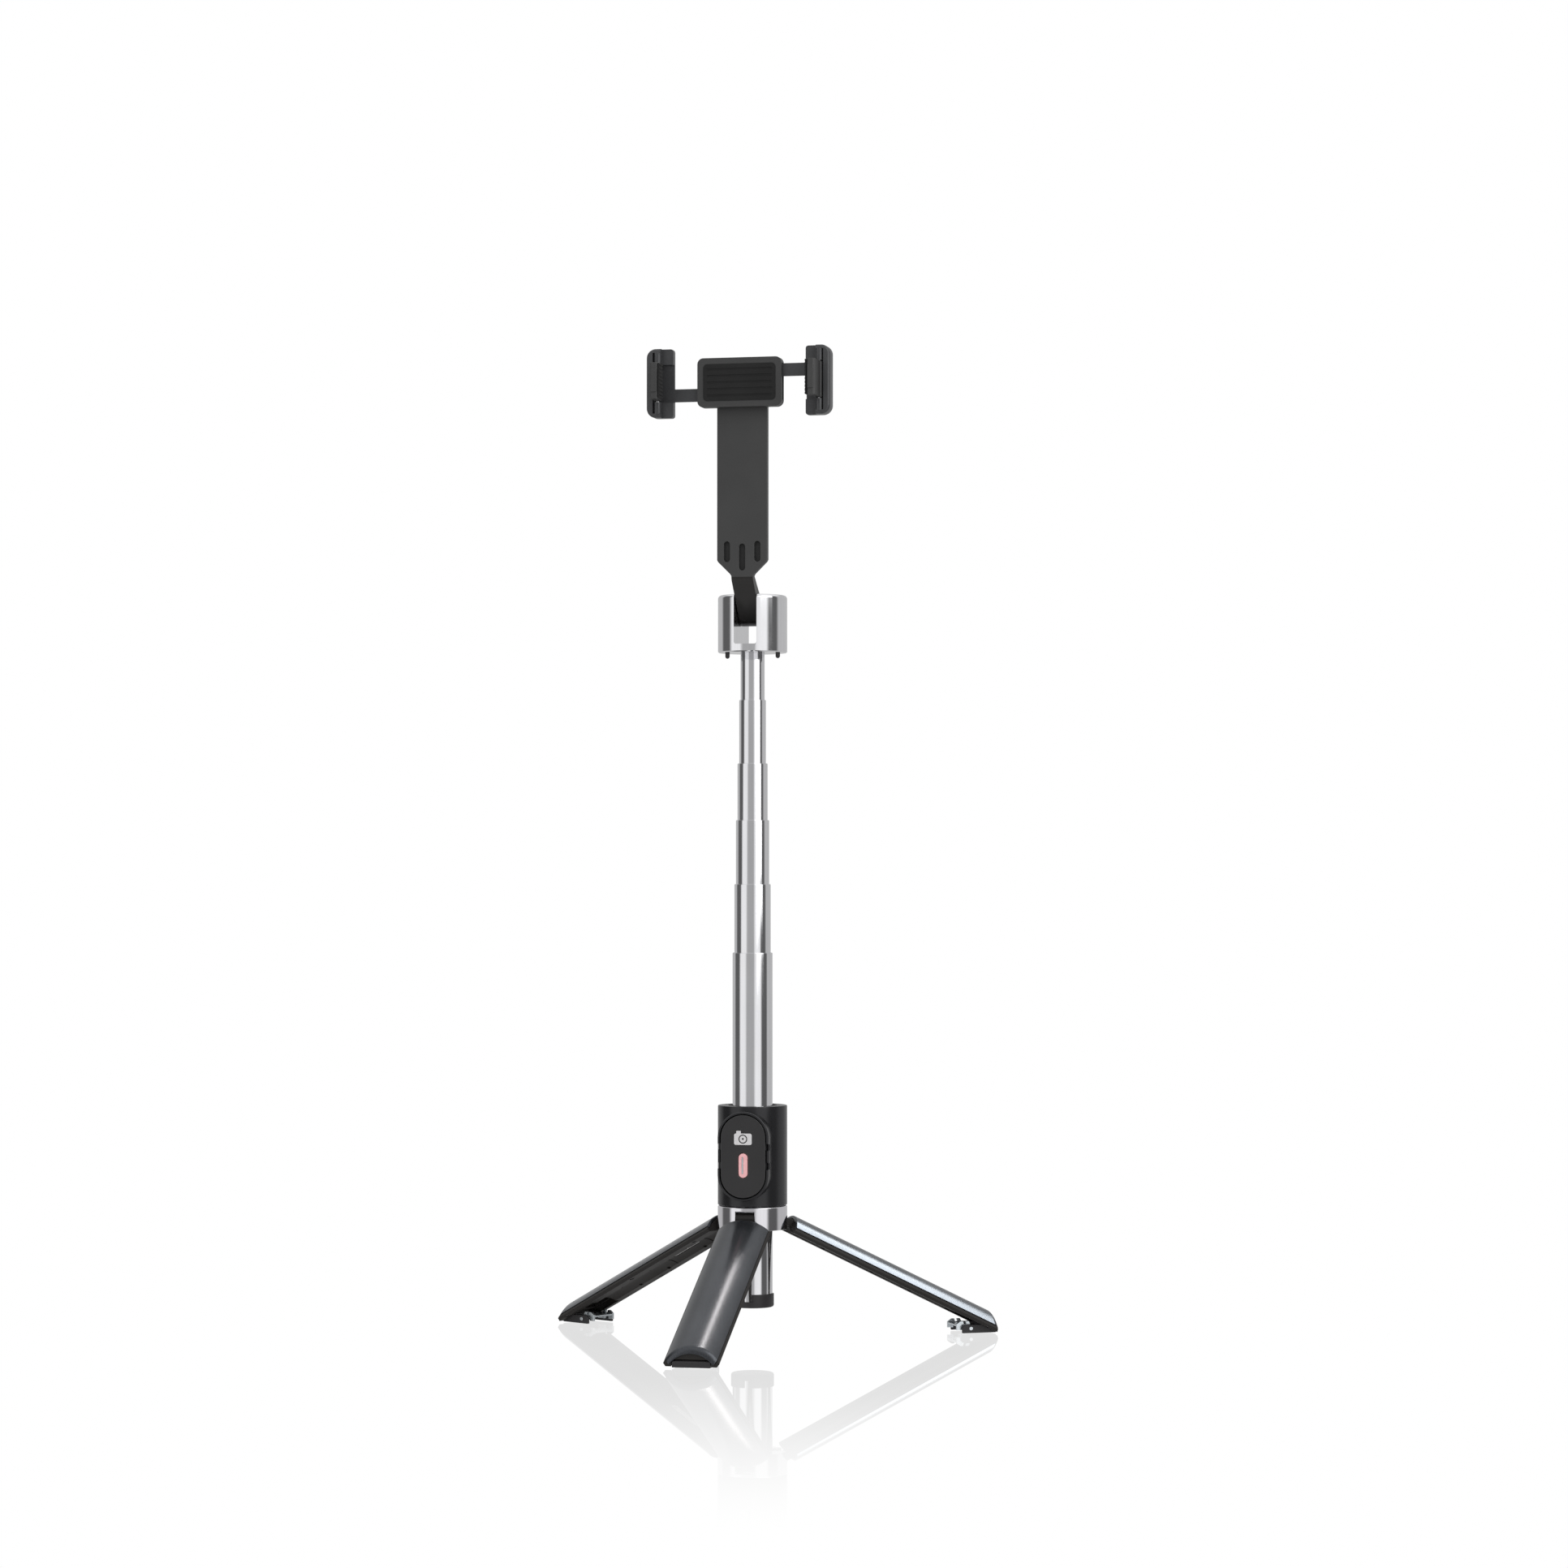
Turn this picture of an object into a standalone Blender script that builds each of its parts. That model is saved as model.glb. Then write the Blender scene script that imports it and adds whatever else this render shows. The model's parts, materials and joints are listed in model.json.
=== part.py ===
"""Telescopic selfie stick with a folding tripod, a sprung phone clamp and a slot-in remote.

Every length below is in millimetres, and MM turns it into Blender's metres.
The object stands on z = 0, its front faces -Y, and the mast's axis is at y = MAST_Y.
Points are written in the mast's own frame, in which the mast's axis is x = y = 0.
"""

import math

import bmesh
import bpy
from mathutils import Matrix, Vector

MM = 0.001
GAP = 0.3                      # clearance between touching pieces

MAST_Y = 24.81                 # mast's axis behind the middle of the footprint

# Round body: collar, hub, legs and head share one outer radius
BODY_R = 17.0
COLLAR_Z = (65.6, 114.3)
COLLAR_BORE_R = 10.9
HUB_Z = (53.8, 65.3)
HUB_BORE_R = 10.2
DOCK_X = 12.7

# Telescoping tubes, from the outer one in: outer radius, inner radius, top, length
MAIN_TUBE = (9.8, 9.3, 188.9, 171.7)
TUBES = [
    (8.9, 8.4, 222.5, 165.0),
    (8.15, 7.7, 253.9, 160.0),
    (7.4, 6.95, 281.7, 155.0),
    (6.55, 6.15, 312.9, 150.0),
    (5.9, 5.4, 338.2, 145.0),
]
BUSHES = [(8.4, 9.1), (7.65, 8.25), (6.8, 7.55), (6.1, 6.8), (4.5, 6.0)]
BUSH_LENGTH = 4.0
CAP_R = 10.5
CAP_Z = (15.7, 22.3)

# Head and neck
HEAD_Z = (336.0, 364.2)
HEAD_SLOT_W = 11.4
HEAD_SLOT_FLOOR = 339.8
NECK_Z = 356.7
NECK_BARREL_R = 7.6
NECK_HALF_W = 5.4
PLATE_Y = (-22.5, -19.0)
PLATE_TOP = 478.0
PLATE_HALF_W = 12.5
CLAMP_Z = 466.3

# Clamp, its two sliding arms and its folding jaws
HOUSING_HALF = (21.0, 12.0)
HOUSING_Y = (-28.3, -23.9)
COVER_Y = (-23.6, -22.8)
BAR_Y = (-26.0, -24.2)
BAR_LANE = (2.6, 8.8)
FRAME_X = (33.0, 45.7)
FRAME_Y = (-32.0, -23.2)
FRAME_HALF_Z = 16.8
JAW_PIN = (40.3, -30.5)
JAW_HALF_Z = 8.75
JAW_WALL_X = (38.7, 41.0)
JAW_TIP_X = 36.8
JAW_FRONT_Y = -44.5
JAW_BACK_Y = -36.9

# Tripod legs, written closed: u points out from the mast, v along the hinge pin
LEG_DIRECTIONS = {"front": -90.0, "right": 30.0, "left": 150.0}
LEG_OPEN = 63.9
LEG_PIVOT = (13.6, 59.5)
LEG_TOP = 53.0
LEG_TIP = (8.7, -65.74)
LEG_HALF_ANGLE = 47.0
SHELL_INNER_R = 15.6
LINER_R = 15.4
LINER_EDGE_R = 16.7
LINER_EDGE_ANGLE = 47.9
CHANNEL_R = 10.9
TIP_ROUND = 4.0
FOOT_PIN = (2.6, 2.6)          # inwards from the leg's tip, and up from the ground
FOOT_POCKET_TOP = -41.0
FOOT_HALF_W = 9.2
FOOT_WELL_HALF_W = 7.7
FOOT_TOE = 5.0
FOOT_LENGTH = 18.0
FOOT_HEIGHT = 4.2

# Remote and its cradle
REMOTE_Z = 90.3
CRADLE_OUTER = (25.4, 43.6)
CRADLE_INNER = (23.4, 41.4)
CRADLE_FRONT_Y = -20.6
CRADLE_FLOOR_Y = -12.1
REMOTE_SIZE = (22.6, 40.5)
REMOTE_WALL = 1.0
LIGHT_SIZE = (4.4, 11.8)
LIGHT_Z = 85.9

LOOKS = {
    "satin_black": ((0.035, 0.035, 0.038), 0.45, 0.0),
    "leg_grey": ((0.06, 0.063, 0.07), 0.35, 0.6),
    "liner_black": ((0.02, 0.017, 0.015), 0.7, 0.0),
    "polished": ((0.62, 0.62, 0.65), 0.12, 1.0),
    "neck_grey": ((0.05, 0.05, 0.05), 0.5, 0.0),
    "steel": ((0.6, 0.6, 0.6), 0.3, 1.0),
    "rubber": ((0.01, 0.01, 0.01), 0.85, 0.0),
    "glossy_black": ((0.01, 0.01, 0.012), 0.08, 0.0),
    "light_pink": ((0.85, 0.45, 0.47), 0.3, 0.0),
    "light_grey": ((0.45, 0.45, 0.46), 0.5, 0.0),
    "bearing_white": ((0.6, 0.58, 0.52), 0.6, 0.0),
    "board_green": ((0.02, 0.12, 0.05), 0.5, 0.0),
}


def clear_scene():
    for obj in list(bpy.data.objects):
        bpy.data.objects.remove(obj, do_unlink=True)


def new_collection(name):
    collection = bpy.data.collections.new(name)
    bpy.context.scene.collection.children.link(collection)
    return collection


clear_scene()
PARTS = new_collection("selfie_stick")
CUTTERS = new_collection("cutters")
BODIES = {}


# ---------------------------------------------------------------- shapes

def object_from(name, bm):
    mesh = bpy.data.meshes.new(name)
    bm.to_mesh(mesh)
    bm.free()
    obj = bpy.data.objects.new(name, mesh)
    PARTS.objects.link(obj)
    return obj


def box(name, low, high):
    middle = (Vector(low) + Vector(high)) * (0.5 * MM)
    size = (Vector(high) - Vector(low)) * MM
    bm = bmesh.new()
    bmesh.ops.create_cube(bm, size=1.0, matrix=Matrix.Translation(middle) @ Matrix.Diagonal(size.to_4d()))
    return object_from(name, bm)


def cylinder(name, radius, start, end, segments=24):
    start = Vector(start) * MM
    end = Vector(end) * MM
    along = end - start
    turn = along.to_track_quat("Z", "Y").to_matrix().to_4x4()
    bm = bmesh.new()
    bmesh.ops.create_cone(
        bm, cap_ends=True, segments=segments, radius1=radius * MM, radius2=radius * MM,
        depth=along.length, matrix=Matrix.Translation((start + end) / 2) @ turn)
    return object_from(name, bm)


def turned(name, profile, steps=24):
    """A closed (radius, height) profile, listed down its outer side, turned about the mast's axis."""
    bm = bmesh.new()
    verts = [bm.verts.new((radius * MM, 0.0, height * MM)) for radius, height in profile]
    for first, second in zip(verts, verts[1:] + verts[:1]):
        on_axis = first.co.x == 0.0 and second.co.x == 0.0
        if not on_axis:
            bm.edges.new((first, second))
    obj = object_from(name, bm)
    screw = obj.modifiers.new("turn", "SCREW")
    screw.steps = steps
    screw.render_steps = steps
    screw.use_merge_vertices = True
    screw.merge_threshold = 0.00001
    return obj


def ring(name, inner, outer, low, high, steps=24, edge=0.0):
    profile = [(outer - edge, high), (outer, high - edge), (outer, low), (inner, low), (inner, high)]
    if edge == 0.0:
        profile = profile[1:]
    return turned(name, profile, steps)


# How an outline's own x, y and thickness lie in the mast's frame
PLANES = {
    "XY": Matrix.Identity(4),
    "XZ": Matrix(((1, 0, 0, 0), (0, 0, 1, 0), (0, 1, 0, 0), (0, 0, 0, 1))),
    "YZ": Matrix(((0, 0, 1, 0), (1, 0, 0, 0), (0, 1, 0, 0), (0, 0, 0, 1))),
}


def slab(name, points, plane, low, high):
    """A flat closed outline, given a thickness from low to high across its plane."""
    curve = bpy.data.curves.new(name, "CURVE")
    curve.dimensions = "2D"
    curve.fill_mode = "BOTH"
    curve.extrude = (high - low) * MM / 2
    spline = curve.splines.new("POLY")
    spline.points.add(len(points) - 1)
    for point, (first, second) in zip(spline.points, points):
        point.co = (first * MM, second * MM, 0.0, 1.0)
    spline.use_cyclic_u = True
    drawn = bpy.data.objects.new(name + "_outline", curve)
    PARTS.objects.link(drawn)
    graph = bpy.context.evaluated_depsgraph_get()
    mesh = bpy.data.meshes.new_from_object(drawn.evaluated_get(graph))
    bpy.data.objects.remove(drawn, do_unlink=True)
    bm = bmesh.new()
    bm.from_mesh(mesh)
    bmesh.ops.remove_doubles(bm, verts=bm.verts, dist=0.000001)
    bmesh.ops.translate(bm, verts=bm.verts, vec=(0.0, 0.0, (low + high) * MM / 2))
    bm.transform(PLANES[plane])
    bmesh.ops.recalc_face_normals(bm, faces=bm.faces)
    if bm.calc_volume(signed=True) < 0:
        bmesh.ops.reverse_faces(bm, faces=bm.faces)
    return object_from(name, bm)


def arc(centre, radius, start, end, count):
    """Points along an arc, with its angles in degrees."""
    points = []
    for step in range(count + 1):
        angle = math.radians(start + (end - start) * step / count)
        points.append((centre[0] + radius * math.cos(angle), centre[1] + radius * math.sin(angle)))
    return points


def stadium(width, height, centre, count=10):
    """An upright oblong with round ends."""
    radius = width / 2
    offset = height / 2 - radius
    top = arc((centre[0], centre[1] + offset), radius, 0, 180, count)
    bottom = arc((centre[0], centre[1] - offset), radius, 180, 360, count)
    return top + bottom


def rounded_rectangle(low, high, radius, count=5):
    corners = [
        ((high[0] - radius, high[1] - radius), 0),
        ((low[0] + radius, high[1] - radius), 90),
        ((low[0] + radius, low[1] + radius), 180),
        ((high[0] - radius, low[1] + radius), 270),
    ]
    points = []
    for centre, start in corners:
        points += arc(centre, radius, start, start + 90, count)
    return points


def boolean(target, tool, operation):
    """Join or cut a piece; the tool stays as its child, so it goes where the piece goes."""
    PARTS.objects.unlink(tool)
    CUTTERS.objects.link(tool)
    tool.hide_render = True
    tool.display_type = "WIRE"
    tool.parent = target
    modifier = target.modifiers.new(tool.name, "BOOLEAN")
    modifier.operation = operation
    modifier.solver = "EXACT"
    modifier.object = tool


def cut(target, *tools):
    for tool in tools:
        boolean(target, tool, "DIFFERENCE")


def join(target, *tools):
    for tool in tools:
        boolean(target, tool, "UNION")


# ---------------------------------------------------------------- bodies and finish

def add_body(name, pivot=(0.0, 0.0, 0.0), parent="stand"):
    """An empty on the body's joint, which its pieces hang from."""
    empty = bpy.data.objects.new("body_" + name, None)
    empty.empty_display_size = 0.01
    PARTS.objects.link(empty)
    home = Matrix.Translation(Vector(pivot) * MM)
    if name == "stand":
        empty.location = (0.0, MAST_Y * MM, 0.0)
    else:
        parent_empty, parent_home = BODIES[parent]
        empty.parent = parent_empty
        empty.matrix_parent_inverse = parent_home.inverted()
        empty.matrix_basis = home
    BODIES[name] = (empty, home)


def node(obj, body, look, matrix=None):
    """Hang a finished piece on its body and give it its own material."""
    colour, roughness, metallic = LOOKS[look]
    material = bpy.data.materials.new(obj.name + "_" + look)
    material.use_nodes = True
    shader = material.node_tree.nodes["Principled BSDF"]
    shader.inputs["Base Color"].default_value = (*colour, 1.0)
    shader.inputs["Roughness"].default_value = roughness
    shader.inputs["Metallic"].default_value = metallic
    obj.data.materials.clear()
    obj.data.materials.append(material)
    if obj.type == "MESH" and obj.data.polygons:
        obj.data.shade_smooth()
        obj.data.set_sharp_from_angle(angle=math.radians(30))
    empty, home = BODIES[body]
    obj.parent = empty
    obj.matrix_parent_inverse = home.inverted()
    if matrix is not None:
        obj.matrix_basis = matrix


def leg_turn(direction):
    return Matrix.Rotation(math.radians(LEG_DIRECTIONS[direction]), 4, "Z")


def leg_opened(direction):
    """Carries a closed leg to its open place."""
    pivot = Matrix.Translation(Vector((LEG_PIVOT[0], 0.0, LEG_PIVOT[1])) * MM)
    swing = Matrix.Rotation(-math.radians(LEG_OPEN), 4, "Y")
    return leg_turn(direction) @ pivot @ swing @ pivot.inverted()


def opened_point(point):
    """Where a (u, z) point of the closed leg lies once the leg is open."""
    angle = math.radians(LEG_OPEN)
    out = point[0] - LEG_PIVOT[0]
    up = point[1] - LEG_PIVOT[1]
    return (LEG_PIVOT[0] + out * math.cos(angle) - up * math.sin(angle),
            LEG_PIVOT[1] + out * math.sin(angle) + up * math.cos(angle))


def closed_point(point):
    """The closed leg's (u, z) point that opens to the given place."""
    angle = math.radians(LEG_OPEN)
    out = point[0] - LEG_PIVOT[0]
    up = point[1] - LEG_PIVOT[1]
    return (LEG_PIVOT[0] + out * math.cos(angle) + up * math.sin(angle),
            LEG_PIVOT[1] - out * math.sin(angle) + up * math.cos(angle))


TIP_R = opened_point(LEG_TIP)[0]
FOOT_PIN_OPEN = (TIP_R - FOOT_PIN[0], FOOT_PIN[1])
FOOT_PIN_CLOSED = closed_point(FOOT_PIN_OPEN)


# ---------------------------------------------------------------- stand

def make_collar():
    low, high = COLLAR_Z
    collar = ring("collar_shell", COLLAR_BORE_R - 1.0, BODY_R, low, high, 36, 0.6)
    for name, side in (("left", -1), ("right", 1)):
        hole = cylinder("dock_hole_" + name, 1.1 + GAP, (side * DOCK_X, 0, high - 4.5),
                        (side * DOCK_X, 0, high + 1), 12)
        cut(collar, hole)
    rim = slab("cradle_rim", stadium(*CRADLE_OUTER, (0.0, REMOTE_Z)), "XZ", CRADLE_FRONT_Y, -9.0)
    join(collar, rim)
    pocket = slab("cradle_pocket", stadium(*CRADLE_INNER, (0.0, REMOTE_Z)), "XZ", -24.0, CRADLE_FLOOR_Y)
    finger_gap = box("cradle_finger_gap", (-16.0, -24.0, 84.4), (16.0, -17.6, 95.5))
    bore = cylinder("collar_bore", COLLAR_BORE_R, (0, 0, low - 5), (0, 0, high + 5), 36)
    cut(collar, pocket, finger_gap, bore)
    node(collar, "stand", "satin_black")


def make_bushes():
    low, high = COLLAR_Z
    places = {"guide_bush_upper": (high - 6.0, high - 1.0), "guide_bush_lower": (low + 0.5, low + 5.5)}
    for name, (bottom, top) in places.items():
        node(ring(name, 10.1, 10.6, bottom, top), "stand", "bearing_white")


def make_hub():
    hub = ring("hub_ring", HUB_BORE_R, BODY_R, *HUB_Z, 36, 0.5)
    out, up = LEG_PIVOT
    for direction in LEG_DIRECTIONS:
        notch = box("hub_notch_" + direction, (8.0, -4.8, HUB_Z[0] - 2.0), (20.0, 4.8, 63.2))
        hole = cylinder("hub_pin_hole_" + direction, 1.2 + GAP, (out, -8.8, up), (out, 8.8, up), 16)
        cut(hub, notch, hole)
        for tool in (notch, hole):
            tool.matrix_basis = leg_turn(direction)
        pin = cylinder("leg_pin_" + direction, 1.2, (out, -8.5, up), (out, 8.5, up), 16)
        node(pin, "stand", "steel", leg_turn(direction))
    node(hub, "stand", "polished")


# ---------------------------------------------------------------- mast

def make_main_tube():
    outer, inner, top, length = MAIN_TUBE
    node(ring("main_tube", inner, outer, top - length, top, 24, 0.2), "mast_1", "polished")
    low, high = CAP_Z
    skirt = outer + 0.25
    profile = [(CAP_R, high), (CAP_R, low + 0.8), (CAP_R - 0.8, low), (0.0, low),
               (0.0, low + 1.2), (skirt, low + 1.2), (skirt, high)]
    cap = turned("bottom_cap", profile)
    for direction in LEG_DIRECTIONS:
        notch = box("cap_notch_" + direction, (9.9, -2.8, low + 3.0), (12.0, 2.8, high + 1.0))
        cut(cap, notch)
        notch.matrix_basis = leg_turn(direction)
    node(cap, "mast_1", "satin_black")


def make_inner_tubes():
    for number, (tube, bush) in enumerate(zip(TUBES, BUSHES), start=2):
        outer, inner, top, length = tube
        body = "head" if number == 6 else "mast_" + str(number)
        node(ring("tube_" + str(number), inner, outer, top - length, top, 24, 0.15), body, "polished")
        bush_top = top - length - GAP
        bush_ring = ring("bush_" + str(number), *bush, bush_top - BUSH_LENGTH, bush_top)
        node(bush_ring, body, "bearing_white")


# ---------------------------------------------------------------- head and neck

def make_head():
    low, high = HEAD_Z
    profile = [(0.0, high), (BODY_R - 1.8, high), (BODY_R - 0.5, high - 0.5), (BODY_R, high - 1.8),
               (BODY_R, low + 0.4), (BODY_R - 0.4, low), (0.0, low)]
    head = turned("head_block", profile, 36)
    half = HEAD_SLOT_W / 2
    corner = 1.2
    middle = HEAD_SLOT_FLOOR + corner
    outline = [(half, high + 3.0), (-half, high + 3.0)]
    outline += arc((corner - half, middle), corner, 180, 270, 4)
    outline += arc((half - corner, middle), corner, 270, 360, 4)
    slot = slab("head_slot", outline, "XZ", -20.0, 20.0)
    socket = cylinder("head_socket", TUBES[-1][0] + 0.2, (0, 0, low - 3), (0, 0, 338.5), 32)
    reach = 9.5
    bore = cylinder("neck_pin_hole", 1.6 + GAP, (-reach - GAP, 0, NECK_Z), (reach + GAP, 0, NECK_Z), 16)
    cut(head, slot, socket, bore)
    for name, side in (("left", -1), ("right", 1)):
        hole = cylinder("dock_socket_" + name, 1.1 + GAP, (side * DOCK_X, 0, low - 2),
                        (side * DOCK_X, 0, 339.3), 12)
        cut(head, hole)
        tip = low - 2.7
        profile = [(0.0, 339.0), (1.1, 339.0), (1.1, tip + 0.8), (0.7, tip), (0.0, tip)]
        pin = turned("dock_pin_" + name, profile, 12)
        node(pin, "head", "steel", Matrix.Translation(Vector((side * DOCK_X, 0, 0)) * MM))
    node(head, "head", "polished")
    pin = cylinder("neck_pin", 1.6, (-reach, 0, NECK_Z), (reach, 0, NECK_Z), 16)
    node(pin, "head", "steel")


def make_neck():
    front, back = PLATE_Y
    bend_z = 371.0
    bend_from_pin = Vector((front, bend_z - NECK_Z))
    bend_angle = math.degrees(math.atan2(bend_from_pin.y, bend_from_pin.x))
    touch_angle = bend_angle + math.degrees(math.acos(NECK_BARREL_R / bend_from_pin.length)) - 360.0
    outline = [(front, bend_z), (front, PLATE_TOP), (back, PLATE_TOP), (back, 373.2)]
    outline += [(-7.5, NECK_Z + NECK_BARREL_R)]
    outline += arc((0.0, NECK_Z), NECK_BARREL_R, 90.0, touch_angle, 20)
    neck = slab("neck_bracket", outline, "YZ", -PLATE_HALF_W, PLATE_HALF_W)
    for name, side in (("left", -1), ("right", 1)):
        near = side * NECK_HALF_W
        edge = side * (PLATE_HALF_W + 0.1)
        far = side * (PLATE_HALF_W + 4.0)
        beside = [(near, 340.0), (near, 372.8), (edge, 380.0), (far, 380.0), (far, 340.0)]
        cut(neck, slab("neck_waist_" + name, beside, "XZ", -30.0, 12.0))
        groove = stadium(3.0, 10.0, (side * 7.6, 384.3), 6)
        cut(neck, slab("neck_groove_" + name, groove, "XZ", front - 2.0, front + 1.8))
    middle = stadium(3.0, 13.0, (0.0, 381.6), 6)
    cut(neck, slab("neck_groove_middle", middle, "XZ", front - 2.0, front + 1.8))
    cut(neck, cylinder("neck_bore", 1.6 + GAP, (-8, 0, NECK_Z), (8, 0, NECK_Z), 16))
    cut(neck, cylinder("bolt_hole", 2.3, (0, -26, CLAMP_Z), (0, -15, CLAMP_Z), 16))
    cut(neck, cylinder("bolt_recess", 4.4, (0, -20.8, CLAMP_Z), (0, -15, CLAMP_Z), 24))
    node(neck, "neck", "neck_grey")
    bolt = cylinder("clamp_bolt", 2.0, (0, -25.4, CLAMP_Z), (0, -20.0, CLAMP_Z), 16)
    join(bolt, cylinder("clamp_bolt_head", 4.0, (0, -20.5, CLAMP_Z), (0, -19.2, CLAMP_Z), 24))
    cut(bolt, cylinder("clamp_bolt_drive", 1.5, (0, -20.0, CLAMP_Z), (0, -18.0, CLAMP_Z), 6))
    node(bolt, "neck", "steel")


# ---------------------------------------------------------------- clamp

def spring(name, side):
    """A light coil between the housing's middle and one arm."""
    turns = 5
    per_turn = 8
    radius = 1.5
    start, end = 3.5, 17.0
    curve = bpy.data.curves.new(name, "CURVE")
    curve.dimensions = "3D"
    curve.bevel_depth = 0.3 * MM
    curve.bevel_resolution = 1
    curve.use_fill_caps = True
    spline = curve.splines.new("POLY")
    spline.points.add(turns * per_turn)
    for index, point in enumerate(spline.points):
        angle = 2 * math.pi * index / per_turn
        along = start + (end - start) * index / (turns * per_turn)
        place = Vector((side * along, -25.1, CLAMP_Z))
        place.y += 0.6 * radius * math.cos(angle)
        place.z += radius * math.sin(angle)
        point.co = (*(place * MM), 1.0)
    obj = bpy.data.objects.new(name, curve)
    PARTS.objects.link(obj)
    return obj


def make_clamp():
    wide, tall = HOUSING_HALF
    outline = rounded_rectangle((-wide, CLAMP_Z - tall), (wide, CLAMP_Z + tall), 3.0)
    housing = slab("clamp_housing", outline, "XZ", *HOUSING_Y)
    lane = BAR_LANE[1] + GAP
    low_corner = (-wide - 3, BAR_Y[0] - GAP, CLAMP_Z - lane)
    channel = box("clamp_channel", low_corner, (wide + 3, -20.0, CLAMP_Z + lane))
    cut(housing, channel)
    node(housing, "clamp", "neck_grey")
    cover = slab("clamp_cover", outline, "XZ", *COVER_Y)
    cut(cover, cylinder("cover_hole", 2.3, (0, -30, CLAMP_Z), (0, -20, CLAMP_Z), 16))
    node(cover, "clamp", "neck_grey")
    for name, side in (("left", -1), ("right", 1)):
        node(spring("clamp_spring_" + name, side), "clamp", "steel")


def mirrored(points, side):
    return [(side * first, second) for first, second in points]


def across(side, near, far):
    """Low and high x of a span, on the left or the right."""
    return (near, far) if side > 0 else (-far, -near)


def make_arm(name, side):
    inner, outer = FRAME_X
    corner = 4.0
    outline = [(inner, CLAMP_Z - FRAME_HALF_Z)]
    outline += arc((outer - corner, CLAMP_Z - FRAME_HALF_Z + corner), corner, 270, 360, 5)
    outline += arc((outer - corner, CLAMP_Z + FRAME_HALF_Z - corner), corner, 0, 90, 5)
    outline += [(inner, CLAMP_Z + FRAME_HALF_Z)]
    arm = slab("arm_" + name, mirrored(outline, side), "XZ", *FRAME_Y)
    low_x, high_x = across(side, -8.0, 34.0)
    lane_low = CLAMP_Z + (BAR_LANE[0] if side > 0 else -BAR_LANE[1])
    lane_high = CLAMP_Z + (BAR_LANE[1] if side > 0 else -BAR_LANE[0])
    join(arm, box("arm_bar_" + name, (low_x, BAR_Y[0], lane_low), (high_x, BAR_Y[1], lane_high)))
    low_x, high_x = across(side, 30.0, 38.6)
    shelf = box("arm_shelf_" + name, (low_x, -36.0, CLAMP_Z - 20), (high_x, -28.2, CLAMP_Z + 20))
    low_x, high_x = across(side, 30.0, 42.3)
    window = box("arm_window_" + name, (low_x, -36.0, CLAMP_Z - 9.2), (high_x, -26.1, CLAMP_Z + 9.2))
    pin_x, pin_y = side * JAW_PIN[0], JAW_PIN[1]
    hole = cylinder("arm_pin_hole_" + name, 0.8 + GAP, (pin_x, pin_y, CLAMP_Z - 14.3),
                    (pin_x, pin_y, CLAMP_Z + 14.3), 12)
    cut(arm, shelf, window, hole)
    node(arm, "arm_" + name, "neck_grey")
    pin = cylinder("jaw_pin_" + name, 0.8, (pin_x, pin_y, CLAMP_Z - 14), (pin_x, pin_y, CLAMP_Z + 14), 12)
    node(pin, "arm_" + name, "steel")


def make_jaw(name, side):
    wall_in, wall_out = JAW_WALL_X
    barrel_r = 1.7
    first = -math.degrees(math.acos((wall_out - JAW_PIN[0]) / barrel_r))
    last = 360.0 - math.degrees(math.acos((wall_in - JAW_PIN[0]) / barrel_r))
    outline = arc(JAW_PIN, barrel_r, first, last, 12)
    outline += [(wall_in, JAW_BACK_Y), (JAW_TIP_X, JAW_BACK_Y), (JAW_TIP_X, JAW_FRONT_Y + 0.8)]
    outline += [(JAW_TIP_X + 0.8, JAW_FRONT_Y), (wall_out - 0.8, JAW_FRONT_Y), (wall_out, JAW_FRONT_Y + 0.8)]
    low, high = CLAMP_Z - JAW_HALF_Z, CLAMP_Z + JAW_HALF_Z
    jaw = slab("jaw_" + name, mirrored(outline, side), "XY", low, high)
    pin_x, pin_y = side * JAW_PIN[0], JAW_PIN[1]
    cut(jaw, cylinder("jaw_bore_" + name, 0.8 + GAP, (pin_x, pin_y, low - 2), (pin_x, pin_y, high + 2), 12))
    node(jaw, "jaw_" + name, "neck_grey")
    low_x, high_x = across(side, JAW_TIP_X - 0.8, JAW_TIP_X - GAP)
    high_corner = (high_x, JAW_BACK_Y - 0.3, high - 0.4)
    pad = box("jaw_pad_" + name, (low_x, JAW_FRONT_Y + 0.4, low + 0.4), high_corner)
    node(pad, "jaw_" + name, "rubber")


# ---------------------------------------------------------------- legs and feet

def tip_tool(name):
    """What is cut from a closed leg below its slanted end, whose outer edge is rounded."""
    slope = 90.0 - LEG_OPEN
    rise = math.tan(math.radians(slope))
    inner = LEG_TIP[0] - 4.0
    centre_u = BODY_R - TIP_ROUND + 0.1
    centre_z = LEG_TIP[1] + (centre_u - LEG_TIP[0]) * rise + TIP_ROUND / math.cos(math.radians(slope))
    outline = [(inner, LEG_TIP[1] - 4.0 * rise)]
    outline += arc((centre_u, centre_z), TIP_ROUND, -LEG_OPEN, 0.0, 6)
    outline += [(BODY_R + 5.0, centre_z), (BODY_R + 5.0, -90.0), (inner, -90.0)]
    return slab(name, outline, "XZ", -20.0, 20.0)


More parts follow.
